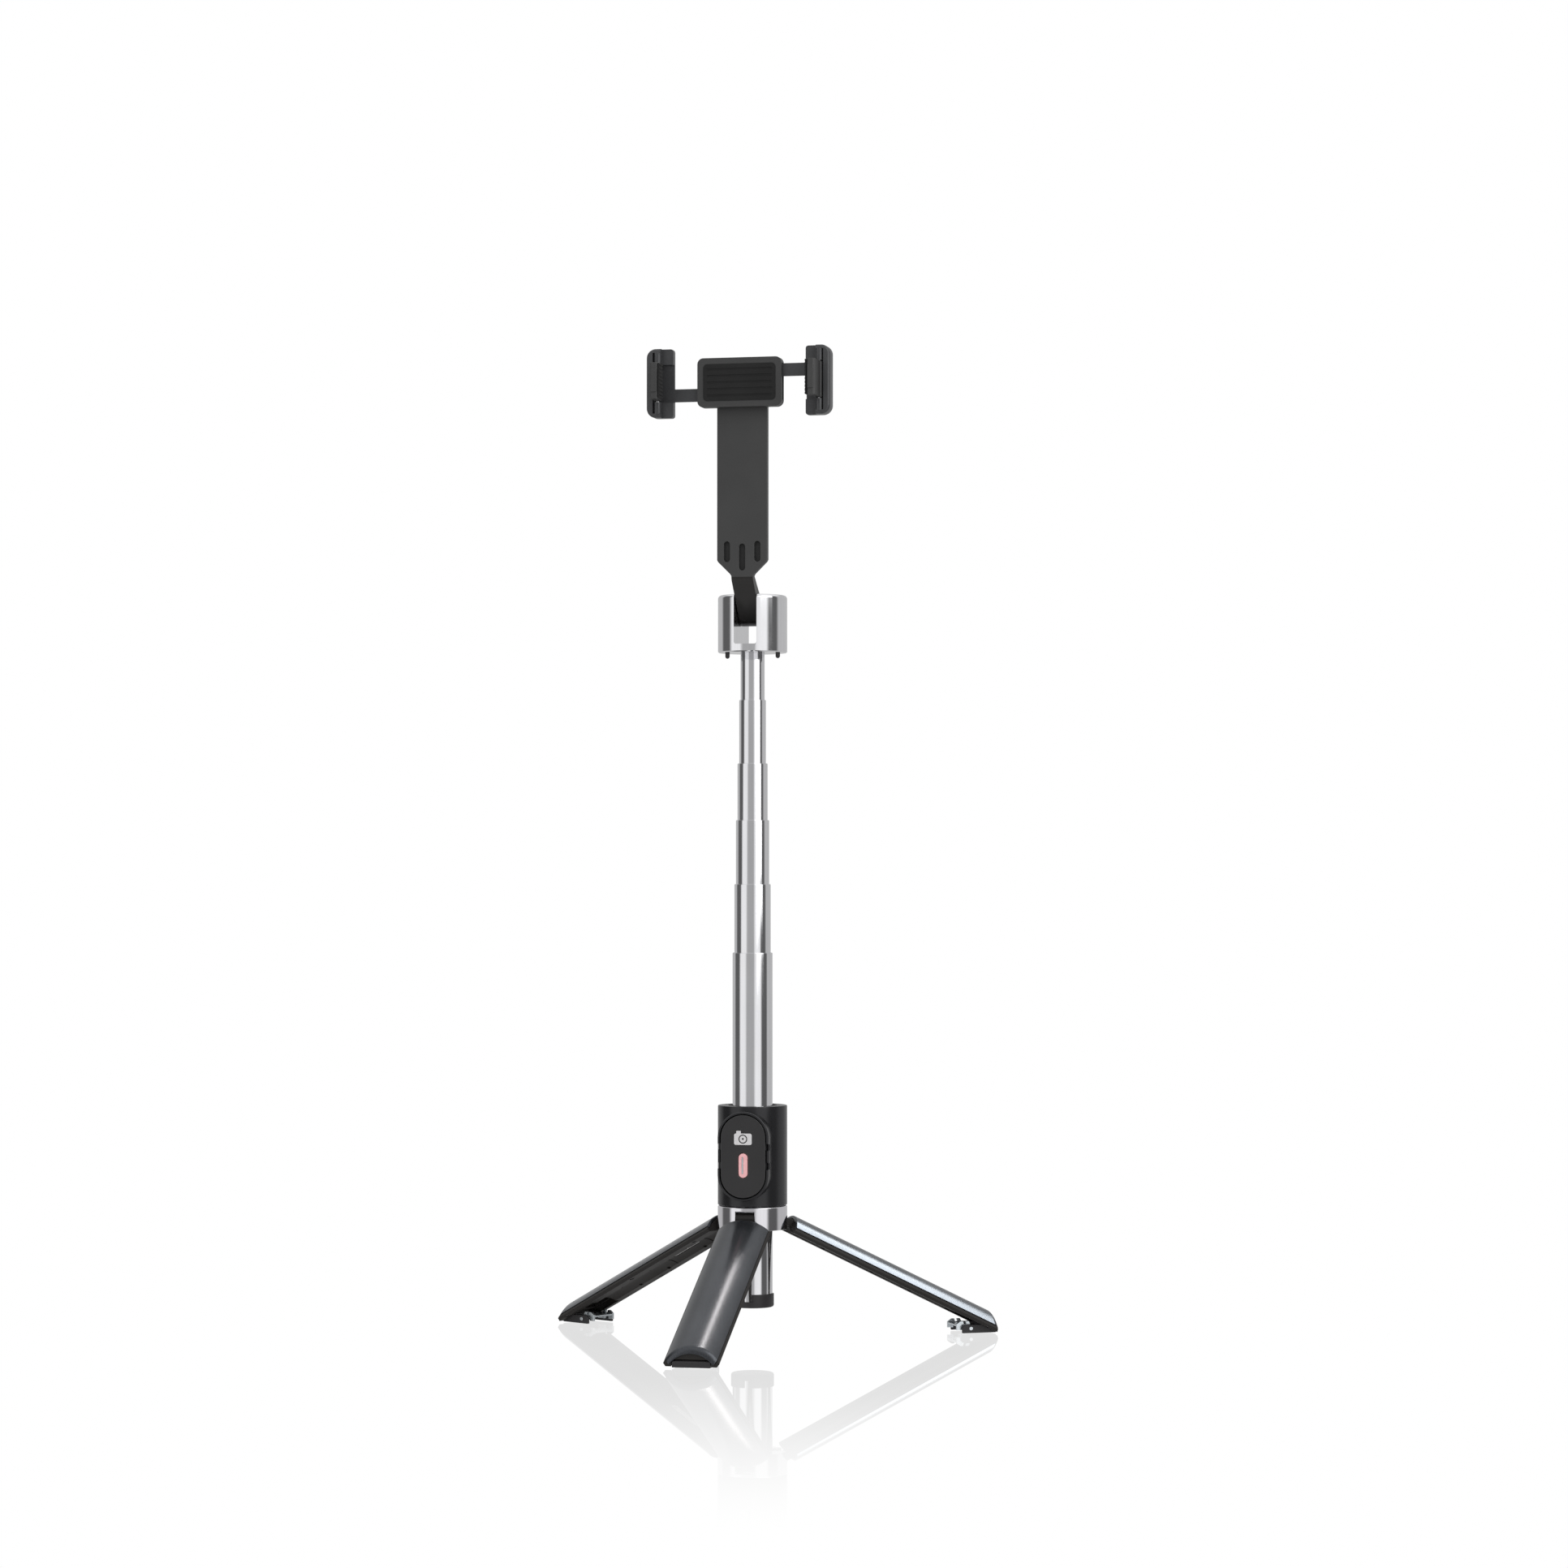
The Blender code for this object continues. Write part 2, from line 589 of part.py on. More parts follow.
def make_leg(direction):
    body = "leg_" + direction
    opened = leg_opened(direction)
    outline = arc((0, 0), BODY_R, -LEG_HALF_ANGLE, LEG_HALF_ANGLE, 16)
    outline += arc((0, 0), SHELL_INNER_R, LEG_HALF_ANGLE, -LEG_HALF_ANGLE, 16)
    shell = slab("leg_shell_" + direction, outline, "XY", -74.0, LEG_TOP)
    cut(shell, tip_tool("shell_tip_" + direction))
    node(shell, body, "leg_grey", opened)

    face = LEG_TIP[0]
    wide = math.degrees(math.acos(face / LINER_EDGE_R))
    edge = LINER_EDGE_ANGLE
    narrow = math.degrees(math.acos(face / CHANNEL_R))
    outline = arc((0, 0), LINER_EDGE_R, -wide, -edge, 3) + arc((0, 0), LINER_R, -edge, edge, 14)
    outline += arc((0, 0), LINER_EDGE_R, edge, wide, 3) + arc((0, 0), CHANNEL_R, narrow, -narrow, 8)
    liner = slab("leg_liner_" + direction, outline, "XY", -74.0, LEG_TOP)
    knuckle_r = 2.9
    out, up = LEG_PIVOT
    low_u, high_u = 11.2, 14.4
    first = -math.degrees(math.acos((high_u - out) / knuckle_r))
    last = 360.0 - math.degrees(math.acos((low_u - out) / knuckle_r))
    outline = [(low_u, 49.0), (high_u, 49.0)] + arc((out, up), knuckle_r, first, last, 14)
    join(liner, slab("leg_knuckle_" + direction, outline, "XZ", -4.5, 4.5))
    pocket = box("foot_pocket_" + direction, (2.0, -9.5, -80.0), (11.7, 9.5, FOOT_POCKET_TOP))
    plate_outline = stadium(4.0 + 2 * GAP, 20.0 + 2 * GAP, (0.0, 22.5), 6)
    recess = slab("plate_recess_" + direction, plate_outline, "YZ", 8.0, 12.5)
    bore = cylinder("knuckle_bore_" + direction, 1.2 + GAP, (out, -9, up), (out, 9, up), 16)
    foot_u, foot_z = FOOT_PIN_CLOSED
    hole = cylinder("foot_hole_" + direction, 0.9, (foot_u, -11.3, foot_z), (foot_u, 11.3, foot_z), 12)
    cut(liner, tip_tool("liner_tip_" + direction), pocket, recess, bore, hole)
    node(liner, body, "liner_black", opened)

    plate = slab("leg_plate_" + direction, stadium(4.0, 20.0, (0.0, 22.5), 6), "YZ", 11.0, 12.2)
    node(plate, body, "light_grey", opened)
    pin = cylinder("foot_pin_" + direction, 0.6, (foot_u, -11.0, foot_z), (foot_u, 11.0, foot_z), 12)
    node(pin, body, "steel", opened)


def make_foot(direction):
    body = "foot_" + direction
    turn = leg_turn(direction)
    side = [(TIP_R - 0.4, 0.0), (TIP_R - 0.4, 2.8), (TIP_R - 3.2, FOOT_HEIGHT),
            (TIP_R - FOOT_LENGTH + 1.0, FOOT_HEIGHT), (TIP_R - FOOT_LENGTH, FOOT_HEIGHT - 1.0),
            (TIP_R - FOOT_LENGTH, 0.0)]
    foot = slab("foot_frame_" + direction, side, "XZ", -FOOT_HALF_W, FOOT_HALF_W)
    well_half = FOOT_WELL_HALF_W
    well = box("foot_well_" + direction, (TIP_R - 40, -well_half, -2), (TIP_R - FOOT_TOE, well_half, 8))
    pin_r, pin_z = FOOT_PIN_OPEN
    bore = cylinder("foot_bore_" + direction, 0.9, (pin_r, -12, pin_z), (pin_r, 12, pin_z), 12)
    cut(foot, well, bore)
    node(foot, body, "satin_black", turn)

    far = TIP_R - 20.5
    near = TIP_R - 10.0
    half = well_half - 0.5
    clip = box("foot_clip_" + direction, (far, -half, 1.4), (near, half, 4.1))
    under = box("clip_under_" + direction, (far - 2, 1.0 - half, -1), (near + 2, half - 1.0, 3.3))
    notch = box("clip_notch_" + direction, (far + 3.0, -9.0, 0.0), (far + 5.5, 9.0, 2.8))
    cut(clip, under, notch)
    node(clip, body, "steel", turn)


# ---------------------------------------------------------------- remote

def make_remote():
    wide, tall = REMOTE_SIZE
    centre = (0.0, REMOTE_Z)
    tray_back = CRADLE_FLOOR_Y - GAP
    tray_front = -18.7
    back = slab("remote_back", stadium(wide, tall, centre), "XZ", tray_front, tray_back)
    inner = stadium(wide - 2 * REMOTE_WALL, tall - 2 * REMOTE_WALL, centre)
    cut(back, slab("remote_cavity", inner, "XZ", -24.0, tray_back - REMOTE_WALL))
    node(back, "remote", "satin_black")
    board = stadium(wide - 2 * REMOTE_WALL - 2 * GAP, tall - 2 * REMOTE_WALL - 2 * GAP, centre)
    node(slab("remote_board", board, "XZ", -17.9, -17.1), "remote", "board_green")
    cell_z = REMOTE_Z + 6.0
    node(cylinder("remote_battery", 8.0, (0, -13.7, cell_z), (0, -16.8, cell_z), 32), "remote", "steel")
    light = stadium(*LIGHT_SIZE, (0.0, LIGHT_Z), 8)
    node(slab("remote_light", light, "XZ", -20.35, -18.2), "remote", "light_pink")
    face = slab("remote_button", stadium(wide - 0.3, tall - 0.1, centre), "XZ", -20.4, -19.3)
    window = stadium(LIGHT_SIZE[0] + 2 * GAP, LIGHT_SIZE[1] + 2 * GAP, (0.0, LIGHT_Z), 8)
    cut(face, slab("button_window", window, "XZ", -24.0, -16.0))
    node(face, "shutter", "glossy_black")


def make_bodies():
    add_body("stand")
    for number in range(1, 6):
        add_body("mast_" + str(number))
    add_body("head")
    add_body("neck", (0.0, 0.0, NECK_Z), "head")
    add_body("clamp", (0.0, PLATE_Y[0], CLAMP_Z), "neck")
    for name, side in (("left", -1), ("right", 1)):
        add_body("arm_" + name, (0.0, BAR_Y[0], CLAMP_Z), "clamp")
        add_body("jaw_" + name, (side * JAW_PIN[0], JAW_PIN[1], CLAMP_Z), "arm_" + name)
    for direction, degrees in LEG_DIRECTIONS.items():
        angle = math.radians(degrees)
        out, up = LEG_PIVOT
        add_body("leg_" + direction, (out * math.cos(angle), out * math.sin(angle), up))
        reach, height = FOOT_PIN_OPEN
        place = (reach * math.cos(angle), reach * math.sin(angle), height)
        add_body("foot_" + direction, place, "leg_" + direction)
    add_body("remote", (0.0, CRADLE_FRONT_Y, REMOTE_Z))
    add_body("shutter", (0.0, CRADLE_FRONT_Y, REMOTE_Z), "remote")


make_bodies()
make_collar()
make_bushes()
make_hub()
make_main_tube()
make_inner_tubes()
make_head()
make_neck()
make_clamp()
for arm_name, arm_side in (("left", -1), ("right", 1)):
    make_arm(arm_name, arm_side)
    make_jaw(arm_name, arm_side)
for leg_direction in LEG_DIRECTIONS:
    make_leg(leg_direction)
    make_foot(leg_direction)
make_remote()
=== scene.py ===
"""The looks of a telescopic selfie stick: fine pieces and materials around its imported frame.

Lengths are in millimetres in the mast's own frame, where the mast's axis is x = y = 0, and
piece() carries them to the row frame in metres.
"""

import json
import math

import bmesh
import bpy
from mathutils import Matrix, Vector


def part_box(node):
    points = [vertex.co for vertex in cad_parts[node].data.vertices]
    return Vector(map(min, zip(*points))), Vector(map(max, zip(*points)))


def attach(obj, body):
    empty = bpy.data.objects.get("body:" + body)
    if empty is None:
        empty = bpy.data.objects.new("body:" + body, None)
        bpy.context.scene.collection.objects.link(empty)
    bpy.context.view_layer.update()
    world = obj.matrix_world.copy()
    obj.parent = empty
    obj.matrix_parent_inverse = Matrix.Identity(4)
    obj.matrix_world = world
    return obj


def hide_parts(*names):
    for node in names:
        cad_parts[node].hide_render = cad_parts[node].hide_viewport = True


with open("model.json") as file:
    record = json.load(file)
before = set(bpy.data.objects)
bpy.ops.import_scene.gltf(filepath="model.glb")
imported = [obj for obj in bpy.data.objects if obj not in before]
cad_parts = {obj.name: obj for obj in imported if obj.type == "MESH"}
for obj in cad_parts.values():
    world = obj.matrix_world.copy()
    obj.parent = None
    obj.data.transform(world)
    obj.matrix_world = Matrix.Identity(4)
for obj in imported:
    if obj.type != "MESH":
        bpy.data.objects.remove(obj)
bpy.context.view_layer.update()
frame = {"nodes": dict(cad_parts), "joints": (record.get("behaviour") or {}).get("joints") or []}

MM = 0.001
WHITE = (1.0, 1.0, 1.0, 1.0)
SHARP_DEG = 32.0               # a steeper edge than this is rounded, and shaded as an edge
FINE = 96                      # steps round a turned piece
TURNED_MERGE = 0.0005          # how close points are joined when a piece is turned
WELD_MERGE = 0.002             # and before its edges are rounded
DIRECTIONS = {"front": -90.0, "right": 30.0, "left": 150.0}     # degrees round from +X
SIDES = (("left", -1), ("right", 1))


def size_of(node):
    """A node's lowest and highest corners in millimetres, in the mast's frame."""
    low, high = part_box(node)
    middle = Vector((0.0, MAST_Y, 0.0))
    return (low - middle) / MM, (high - middle) / MM


def middle_z(node):
    """How high a node's middle is, in millimetres."""
    low, high = size_of(node)
    return (low.z + high.z) / 2


def joint(name):
    return next(entry for entry in frame["joints"] if entry["name"] == name)


tube_low, tube_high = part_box("main_tube")
MAST_Y = (tube_low.y + tube_high.y) / 2         # in metres, as the joints' places are
PIVOT_POS = joint("leg_front_fold")["pos_m"]
FOOT_POS = joint("foot_front_fold")["pos_m"]
NECK_Z = joint("neck_tilt")["pos_m"][2] / MM
CLAMP_Z = joint("clamp_turn")["pos_m"][2] / MM
BODY_R = size_of("head_block")[1].x             # the head, collar, hub and closed legs share it

# Legs are drawn closed against the mast, out along +X. A place is (out from the mast, up).
LEG_OPEN = joint("leg_front_fold")["range_deg"][1]
LEG_PIVOT = ((MAST_Y - PIVOT_POS[1]) / MM, PIVOT_POS[2] / MM)
LEG_TIP = Vector((8.7, -65.74))                 # the inner corner of the slanted end
LEG_TOP = 53.0
END_SLOPE = math.radians(90.0 - LEG_OPEN)       # this brings the end level when the leg is open
FOOT_PIN_CLOSED = (9.8895, -62.262)
FOOT_PIN_UP = 2.6                               # an open foot's hinge: up, and in from the tip
TIP_R = (MAST_Y - FOOT_POS[1]) / MM + FOOT_PIN_UP
PLATE_Z = 22.5                                  # the middle of the light oblong on each leg


# ---------------------------------------------------------------- shapes

def mesh_object(name, bm):
    mesh = bpy.data.meshes.new(name)
    bm.to_mesh(mesh)
    bm.free()
    obj = bpy.data.objects.new(name, mesh)
    bpy.context.scene.collection.objects.link(obj)
    return obj


def arc(centre, radius, start, end, count):
    """Points along a circle, from one angle to another in degrees."""
    points = []
    for step in range(count + 1):
        angle = math.radians(start + (end - start) * step / count)
        points.append((centre[0] + radius * math.cos(angle),
                       centre[1] + radius * math.sin(angle)))
    return points


def stadium(width, height, centre, count=23):
    """An upright oblong with round ends."""
    radius = width / 2
    offset = height / 2 - radius
    top = arc((centre[0], centre[1] + offset), radius, 0, 180, count)
    bottom = arc((centre[0], centre[1] - offset), radius, 180, 360, count)
    return top + bottom


def oblong(low, high):
    return [(low[0], low[1]), (high[0], low[1]), (high[0], high[1]), (low[0], high[1])]


def rounded(low, high, radius, count=8):
    """An oblong with rounded corners."""
    corners = [
        ((high[0] - radius, high[1] - radius), 0),
        ((low[0] + radius, high[1] - radius), 90),
        ((low[0] + radius, low[1] + radius), 180),
        ((high[0] - radius, low[1] + radius), 270),
    ]
    points = []
    for centre, start in corners:
        points += arc(centre, radius, start, start + 90, count)
    return points


def closed_outward(bm):
    bmesh.ops.recalc_face_normals(bm, faces=bm.faces)
    if bm.calc_volume(signed=True) < 0:
        bmesh.ops.reverse_faces(bm, faces=bm.faces)


PLANES = {
    "XY": lambda a, b, c: (a, b, c),
    "XZ": lambda a, b, c: (a, c, b),
    "YZ": lambda a, b, c: (c, a, b),
}


def slab(name, points, plane, low, high):
    """A flat closed outline with a thickness from low to high across its plane."""
    to_space = PLANES[plane]
    bm = bmesh.new()
    verts = [bm.verts.new(Vector(to_space(a, b, low))) for a, b in points]
    face = bm.faces.new(verts)
    grown = bmesh.ops.extrude_face_region(bm, geom=[face])
    moved = [item for item in grown["geom"] if isinstance(item, bmesh.types.BMVert)]
    bmesh.ops.translate(bm, verts=moved, vec=Vector(to_space(0.0, 0.0, high - low)))
    closed_outward(bm)
    return mesh_object(name, bm)


def box(name, low, high):
    return slab(name, oblong(low, high), "XY", low[2], high[2])


def turned(name, profile, steps=FINE):
    """A closed (radius, height) profile turned about the mast's axis."""
    bm = bmesh.new()
    verts = [bm.verts.new((radius, 0.0, height)) for radius, height in profile]
    edges = []
    for first, second in zip(verts, verts[1:] + verts[:1]):
        if first.co.x > 0.0 or second.co.x > 0.0:
            edges.append(bm.edges.new((first, second)))
    bmesh.ops.spin(bm, geom=verts + edges, cent=(0, 0, 0), axis=(0, 0, 1), dvec=(0, 0, 0),
                   angle=math.tau, steps=steps, use_merge=True)
    bmesh.ops.remove_doubles(bm, verts=bm.verts, dist=TURNED_MERGE)
    closed_outward(bm)
    return mesh_object(name, bm)


def rod(name, radius, start, end, edge=0.0, steps=32):
    """A round bar from start to end, with chamfered ends if edge is given."""
    start, end = Vector(start), Vector(end)
    length = (end - start).length
    profile = [(0.0, length), (radius - edge, length), (radius, length - edge),
               (radius, edge), (radius - edge, 0.0), (0.0, 0.0)]
    if edge == 0.0:
        profile = [(0.0, length), (radius, length), (radius, 0.0), (0.0, 0.0)]
    obj = turned(name, profile, steps)
    turn = (end - start).to_track_quat("Z", "Y").to_matrix().to_4x4()
    obj.data.transform(Matrix.Translation(start) @ turn)
    return obj


def cross_rod(name, radius, half, place, edge=0.0, steps=32):
    """A round bar across a leg drawn for the direction +X, at (out, up)."""
    out, up = place
    return rod(name, radius, (out, -half, up), (out, half, up), edge, steps)


def leg_turn(direction):
    return Matrix.Rotation(math.radians(DIRECTIONS[direction]), 4, "Z")


def bake(obj):
    """Turn an object's modifiers into its mesh."""
    graph = bpy.context.evaluated_depsgraph_get()
    mesh = bpy.data.meshes.new_from_object(obj.evaluated_get(graph))
    obj.modifiers.clear()
    old = obj.data
    obj.data = mesh
    bpy.data.meshes.remove(old)


def boolean(target, tools, operation):
    for tool in tools:
        modifier = target.modifiers.new("work", "BOOLEAN")
        modifier.operation = operation
        modifier.solver = "EXACT"
        modifier.object = tool
        bake(target)
        bpy.data.objects.remove(tool, do_unlink=True)
    return target


def cut(target, *tools):
    return boolean(target, tools, "DIFFERENCE")


def join(target, *tools):
    return boolean(target, tools, "UNION")


def rounded_edges(obj, width, segments, sharp_deg):
    bevel = obj.modifiers.new("edges", "BEVEL")
    bevel.width = width
    bevel.segments = segments
    bevel.limit_method = "ANGLE"
    bevel.angle_limit = math.radians(sharp_deg)
    bake(obj)


def piece(obj, body, material, stands_for=(), edge=0.0, matrix=None):
    """Round a piece's edges, carry it to the row frame, paint it, and let it ride on its body."""
    if edge:
        weld = obj.modifiers.new("weld", "WELD")
        weld.merge_threshold = WELD_MERGE
        rounded_edges(obj, edge, 3, SHARP_DEG)
    if matrix is not None:
        obj.data.transform(matrix)
    to_mast = Matrix.Translation((0.0, MAST_Y, 0.0))
    obj.data.transform(to_mast @ Matrix.Diagonal((MM, MM, MM, 1.0)))
    obj.data.shade_smooth()
    obj.data.set_sharp_from_angle(angle=math.radians(SHARP_DEG))
    if edge:
        normals = obj.modifiers.new("normals", "WEIGHTED_NORMAL")
        normals.keep_sharp = True
    obj.data.materials.clear()
    obj.data.materials.append(material)
    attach(obj, body)
    if stands_for:
        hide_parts(*stands_for)
    return obj


# ---------------------------------------------------------------- materials

MIDDLING = (0.3, 0.7)          # where most of a noise lies


def new_material(name, colour, roughness, metallic=0.0):
    material = bpy.data.materials.new(name)
    material.use_nodes = True
    tree = material.node_tree
    shader = feed(tree, tree.nodes["Principled BSDF"], {
        "Base Color": (*colour, 1.0), "Roughness": roughness, "Metallic": metallic})
    return material, tree, shader


def feed(tree, node, inputs):
    """Give inputs of a node a value each, or another node's output to follow."""
    for name, value in inputs.items():
        if isinstance(value, bpy.types.NodeSocket):
            tree.links.new(value, node.inputs[name])
        else:
            node.inputs[name].default_value = value
    return node


def add(tree, kind, inputs):
    return feed(tree, tree.nodes.new("ShaderNode" + kind), inputs)


def noise(tree, scale, detail, stretch=(1.0, 1.0, 1.0)):
    """Noise in object space, in features per metre, squeezed along each axis by stretch."""
    place = add(tree, "TexCoord", {})
    mapping = add(tree, "Mapping", {"Scale": stretch, "Vector": place.outputs["Object"]})
    texture = add(tree, "TexNoise", {"Scale": scale, "Detail": detail,
                                     "Vector": mapping.outputs["Vector"]})
    return texture.outputs["Fac"]


def spread(tree, value, from_range, to_range):
    """Map one range of a value onto another."""
    mapped = add(tree, "MapRange", {
        "From Min": from_range[0], "From Max": from_range[1],
        "To Min": to_range[0], "To Max": to_range[1], "Value": value})
    return mapped.outputs["Result"]


def tint(tree, value, dark, light):
    """Colours from dark to light over the middle of a noise."""
    ramp = tree.nodes.new("ShaderNodeValToRGB")
    for stop, place, colour in zip(ramp.color_ramp.elements, MIDDLING, (dark, light)):
        stop.position = place
        stop.color = (*colour, 1.0)
    tree.links.new(value, ramp.inputs["Fac"])
    return ramp.outputs["Color"]


def grained(name, dark, light, roughness, metallic, scale, depth_mm, stretch=(1.0, 1.0, 1.0)):
    """A surface whose colour, gloss and relief follow fine grain over a slow cloudiness."""
    material, tree, shader = new_material(name, light, sum(roughness) / 2, metallic)
    fine = noise(tree, scale, 2.0, stretch)
    slow = noise(tree, 45.0, 3.0)
    mix = add(tree, "Mix", {"Factor": 0.35, "A": fine, "B": slow})
    bump = add(tree, "Bump", {"Distance": depth_mm * MM, "Height": fine})
    feed(tree, shader, {
        "Base Color": tint(tree, mix.outputs["Result"], dark, light),
        "Roughness": spread(tree, slow, MIDDLING, roughness),
        "Normal": bump.outputs["Normal"]})
    return material


def polished(name, colour=(0.80, 0.80, 0.82), stretch=(1.0, 1.0, 0.02)):
    """Drawn and polished metal: mirror-like, with faint lines along its length."""
    dark = tuple(0.93 * part for part in colour)
    return grained(name, dark, colour, (0.08, 0.13), 1.0, 900.0, 0.0003, stretch)


LOOK = {
    "tube": polished("polished_tube"),
    "head": polished("polished_head", (0.83, 0.83, 0.85), (1.0, 1.0, 0.05)),
    "hub": polished("polished_hub", (0.78, 0.77, 0.80), (1.0, 1.0, 0.05)),
}

# Name, dark and light colours, least and most roughness, metal, grains per metre, relief in mm
FINISHES = {
    "collar": ("collar_satin", (0.022, 0.022, 0.024), (0.034, 0.034, 0.037),
               (0.22, 0.28), 0.45, 2400, 0.003),
    "cap": ("cap_black", (0.016, 0.015, 0.016), (0.028, 0.026, 0.028),
            (0.42, 0.52), 0.0, 2000, 0.012),
    "shell": ("leg_metallic", (0.035, 0.038, 0.043), (0.085, 0.09, 0.10),
              (0.22, 0.27), 0.72, 2600, 0.001),
    "liner": ("liner_black", (0.006, 0.005, 0.004), (0.012, 0.009, 0.007),
              (0.55, 0.7), 0.0, 1800, 0.012),
    # painted shade: a darker copy of the neck's finish for its arm, which faces down into the
    # head's slot
    "neck_arm_shaded": ("neck_arm_painted_shade", (0.008, 0.007, 0.006), (0.014, 0.012, 0.011),
                 (0.3, 0.38), 0.1, 2600, 0.006),
    "neck": ("neck_matte", (0.036, 0.036, 0.036), (0.055, 0.055, 0.055),
             (0.42, 0.5), 0.1, 2600, 0.012),
    "arm": ("arm_grey", (0.045, 0.046, 0.048), (0.075, 0.076, 0.08),
            (0.32, 0.4), 0.3, 2600, 0.01),
    "rubber": ("pad_rubber", (0.004, 0.004, 0.004), (0.009, 0.009, 0.009),
               (0.75, 0.9), 0.0, 1400, 0.03),
    "steel": ("turned_steel", (0.42, 0.42, 0.43), (0.6, 0.6, 0.61),
              (0.2, 0.32), 1.0, 1500, 0.003),
    "clip": ("clip_steel", (0.62, 0.67, 0.70), (0.8, 0.85, 0.88),
             (0.22, 0.34), 0.9, 1200, 0.004),
    "plate": ("plate_grey", (0.30, 0.29, 0.29), (0.40, 0.39, 0.39),
              (0.4, 0.55), 0.0, 1500, 0.01),
    "bearing": ("bearing_acetal", (0.50, 0.48, 0.43), (0.62, 0.60, 0.54),
                (0.45, 0.6), 0.0, 900, 0.01),
    "board": ("board_green", (0.012, 0.09, 0.035), (0.02, 0.13, 0.055),
              (0.4, 0.5), 0.0, 900, 0.01),
    "icon": ("icon_print", (0.70, 0.69, 0.70), (0.78, 0.77, 0.78),
             (0.4, 0.5), 0.0, 1500, 0.003),
    "screw": ("screw_black", (0.10, 0.10, 0.105), (0.16, 0.16, 0.17),
              (0.25, 0.35), 0.9, 1500, 0.003),
    # painted shade: a near-black finish laid on the floors of the neck's grooves
    "groove": ("groove_painted_shade", (0.006, 0.006, 0.006), (0.012, 0.012, 0.012),
               (0.6, 0.7), 0.0, 1500, 0.01),
}
for look_name, finish in FINISHES.items():
    LOOK[look_name] = grained(*finish)


def coated(material, weight, roughness=0.03):
    """A clear coat over a material, whose shader is returned."""
    return feed(material.node_tree, material.node_tree.nodes["Principled BSDF"],
                {"Coat Weight": weight, "Coat Roughness": roughness})


def glossy_face():
    """Lacquered black with a soft coat, as on the remote's front."""
    material = grained("remote_gloss", (0.010, 0.010, 0.011), (0.020, 0.019, 0.020),
                       (0.16, 0.24), 0.0, 3000, 0.002)
    coated(material, 0.6, 0.08)
    return material


def pink_light():
    """A translucent pink lens with a faint glow."""
    material = grained("light_pink", (0.80, 0.40, 0.42), (0.90, 0.52, 0.53),
                       (0.2, 0.3), 0.0, 700, 0.004)
    feed(material.node_tree, coated(material, 0.5),
         {"Emission Color": (0.95, 0.45, 0.45, 1.0), "Emission Strength": 0.12})
    return material


LOOK["gloss"] = glossy_face()
LOOK["light"] = pink_light()


# ---------------------------------------------------------------- mast, head and hub

def make_tubes():
    """Six thin tubes, each with a rolled lip that comes in to the next."""
    wall, lip_gap = 0.45, 0.14
    names = ["main_tube"] + ["tube_%d" % number for number in range(2, 7)]
    bodies = ["mast_%d" % number for number in range(1, 6)] + ["head"]
    radii = [size_of(name)[1].x for name in names]
    lips = [radius + lip_gap for radius in radii[1:]] + [radii[-1] - wall]
    for name, body, outer, lip in zip(names, bodies, radii, lips):
        low, high = size_of(name)
        bottom, top = low.z, high.z
        inner = outer - wall
        profile = [(outer, top - 0.45), (outer, bottom), (inner, bottom), (inner, top - 2.0),
                   (lip, top - 1.4), (lip, top), (outer - 0.35, top), (outer - 0.1, top - 0.12)]
        piece(turned(name + "_fine", profile), body, LOOK["tube"], [name])


def radial(name, points, low, high, direction):
    """A block drawn for the direction +X, turned to face one leg."""
    tool = slab(name, points, "XY", low, high)
    tool.data.transform(leg_turn(direction))
    return tool


def make_cap():
    """The plug under the mast: a cup with three notches in its rim, for the feet."""
    low, high = size_of("bottom_cap")
    outer, bottom, top = high.x, low.z, high.z
    skirt, base = outer - 0.45, 1.2
    profile = [(outer, top - 0.3), (outer, bottom + 1.0), (outer - 0.3, bottom + 0.3),
               (outer - 1.0, bottom), (0.0, bottom), (0.0, bottom + base),
               (skirt, bottom + base), (skirt, top), (outer - 0.2, top)]
    cap = turned("bottom_cap_fine", profile)
    notch = oblong((9.9, -2.8), (13.0, 2.8))
    for direction in DIRECTIONS:
        cut(cap, radial("notch", notch, bottom + 3.0, top + 1.0, direction))
    piece(cap, "mast_1", LOOK["cap"], ["bottom_cap"])


def make_hub():
    """The polished ring that the legs hang from, with its three pins."""
    low, high = size_of("hub_ring")
    bore_r, notch_top = 10.2, 63.2
    hole_r, hole_half = 1.5, 7.2
    pin_r, pin_half = 1.2, 8.0
    profile = [(BODY_R - 0.5, high.z), (BODY_R, high.z - 0.5), (BODY_R, low.z), (bore_r, low.z),
               (bore_r, high.z)]
    hub = turned("hub_fine", profile)
    notch = oblong((8.0, -4.8), (20.0, 4.8))
    for direction in DIRECTIONS:
        turn = leg_turn(direction)
        pin_hole = cross_rod("pin_hole", hole_r, hole_half, LEG_PIVOT)
        pin_hole.data.transform(turn)
        cut(hub, radial("notch", notch, low.z - 2.0, notch_top, direction), pin_hole)
        pin = cross_rod("leg_pin_%s_fine" % direction, pin_r, pin_half, LEG_PIVOT, 0.2)
        piece(pin, "stand", LOOK["steel"], ["leg_pin_" + direction], matrix=turn)
    piece(hub, "stand", LOOK["hub"], ["hub_ring"], 0.22)


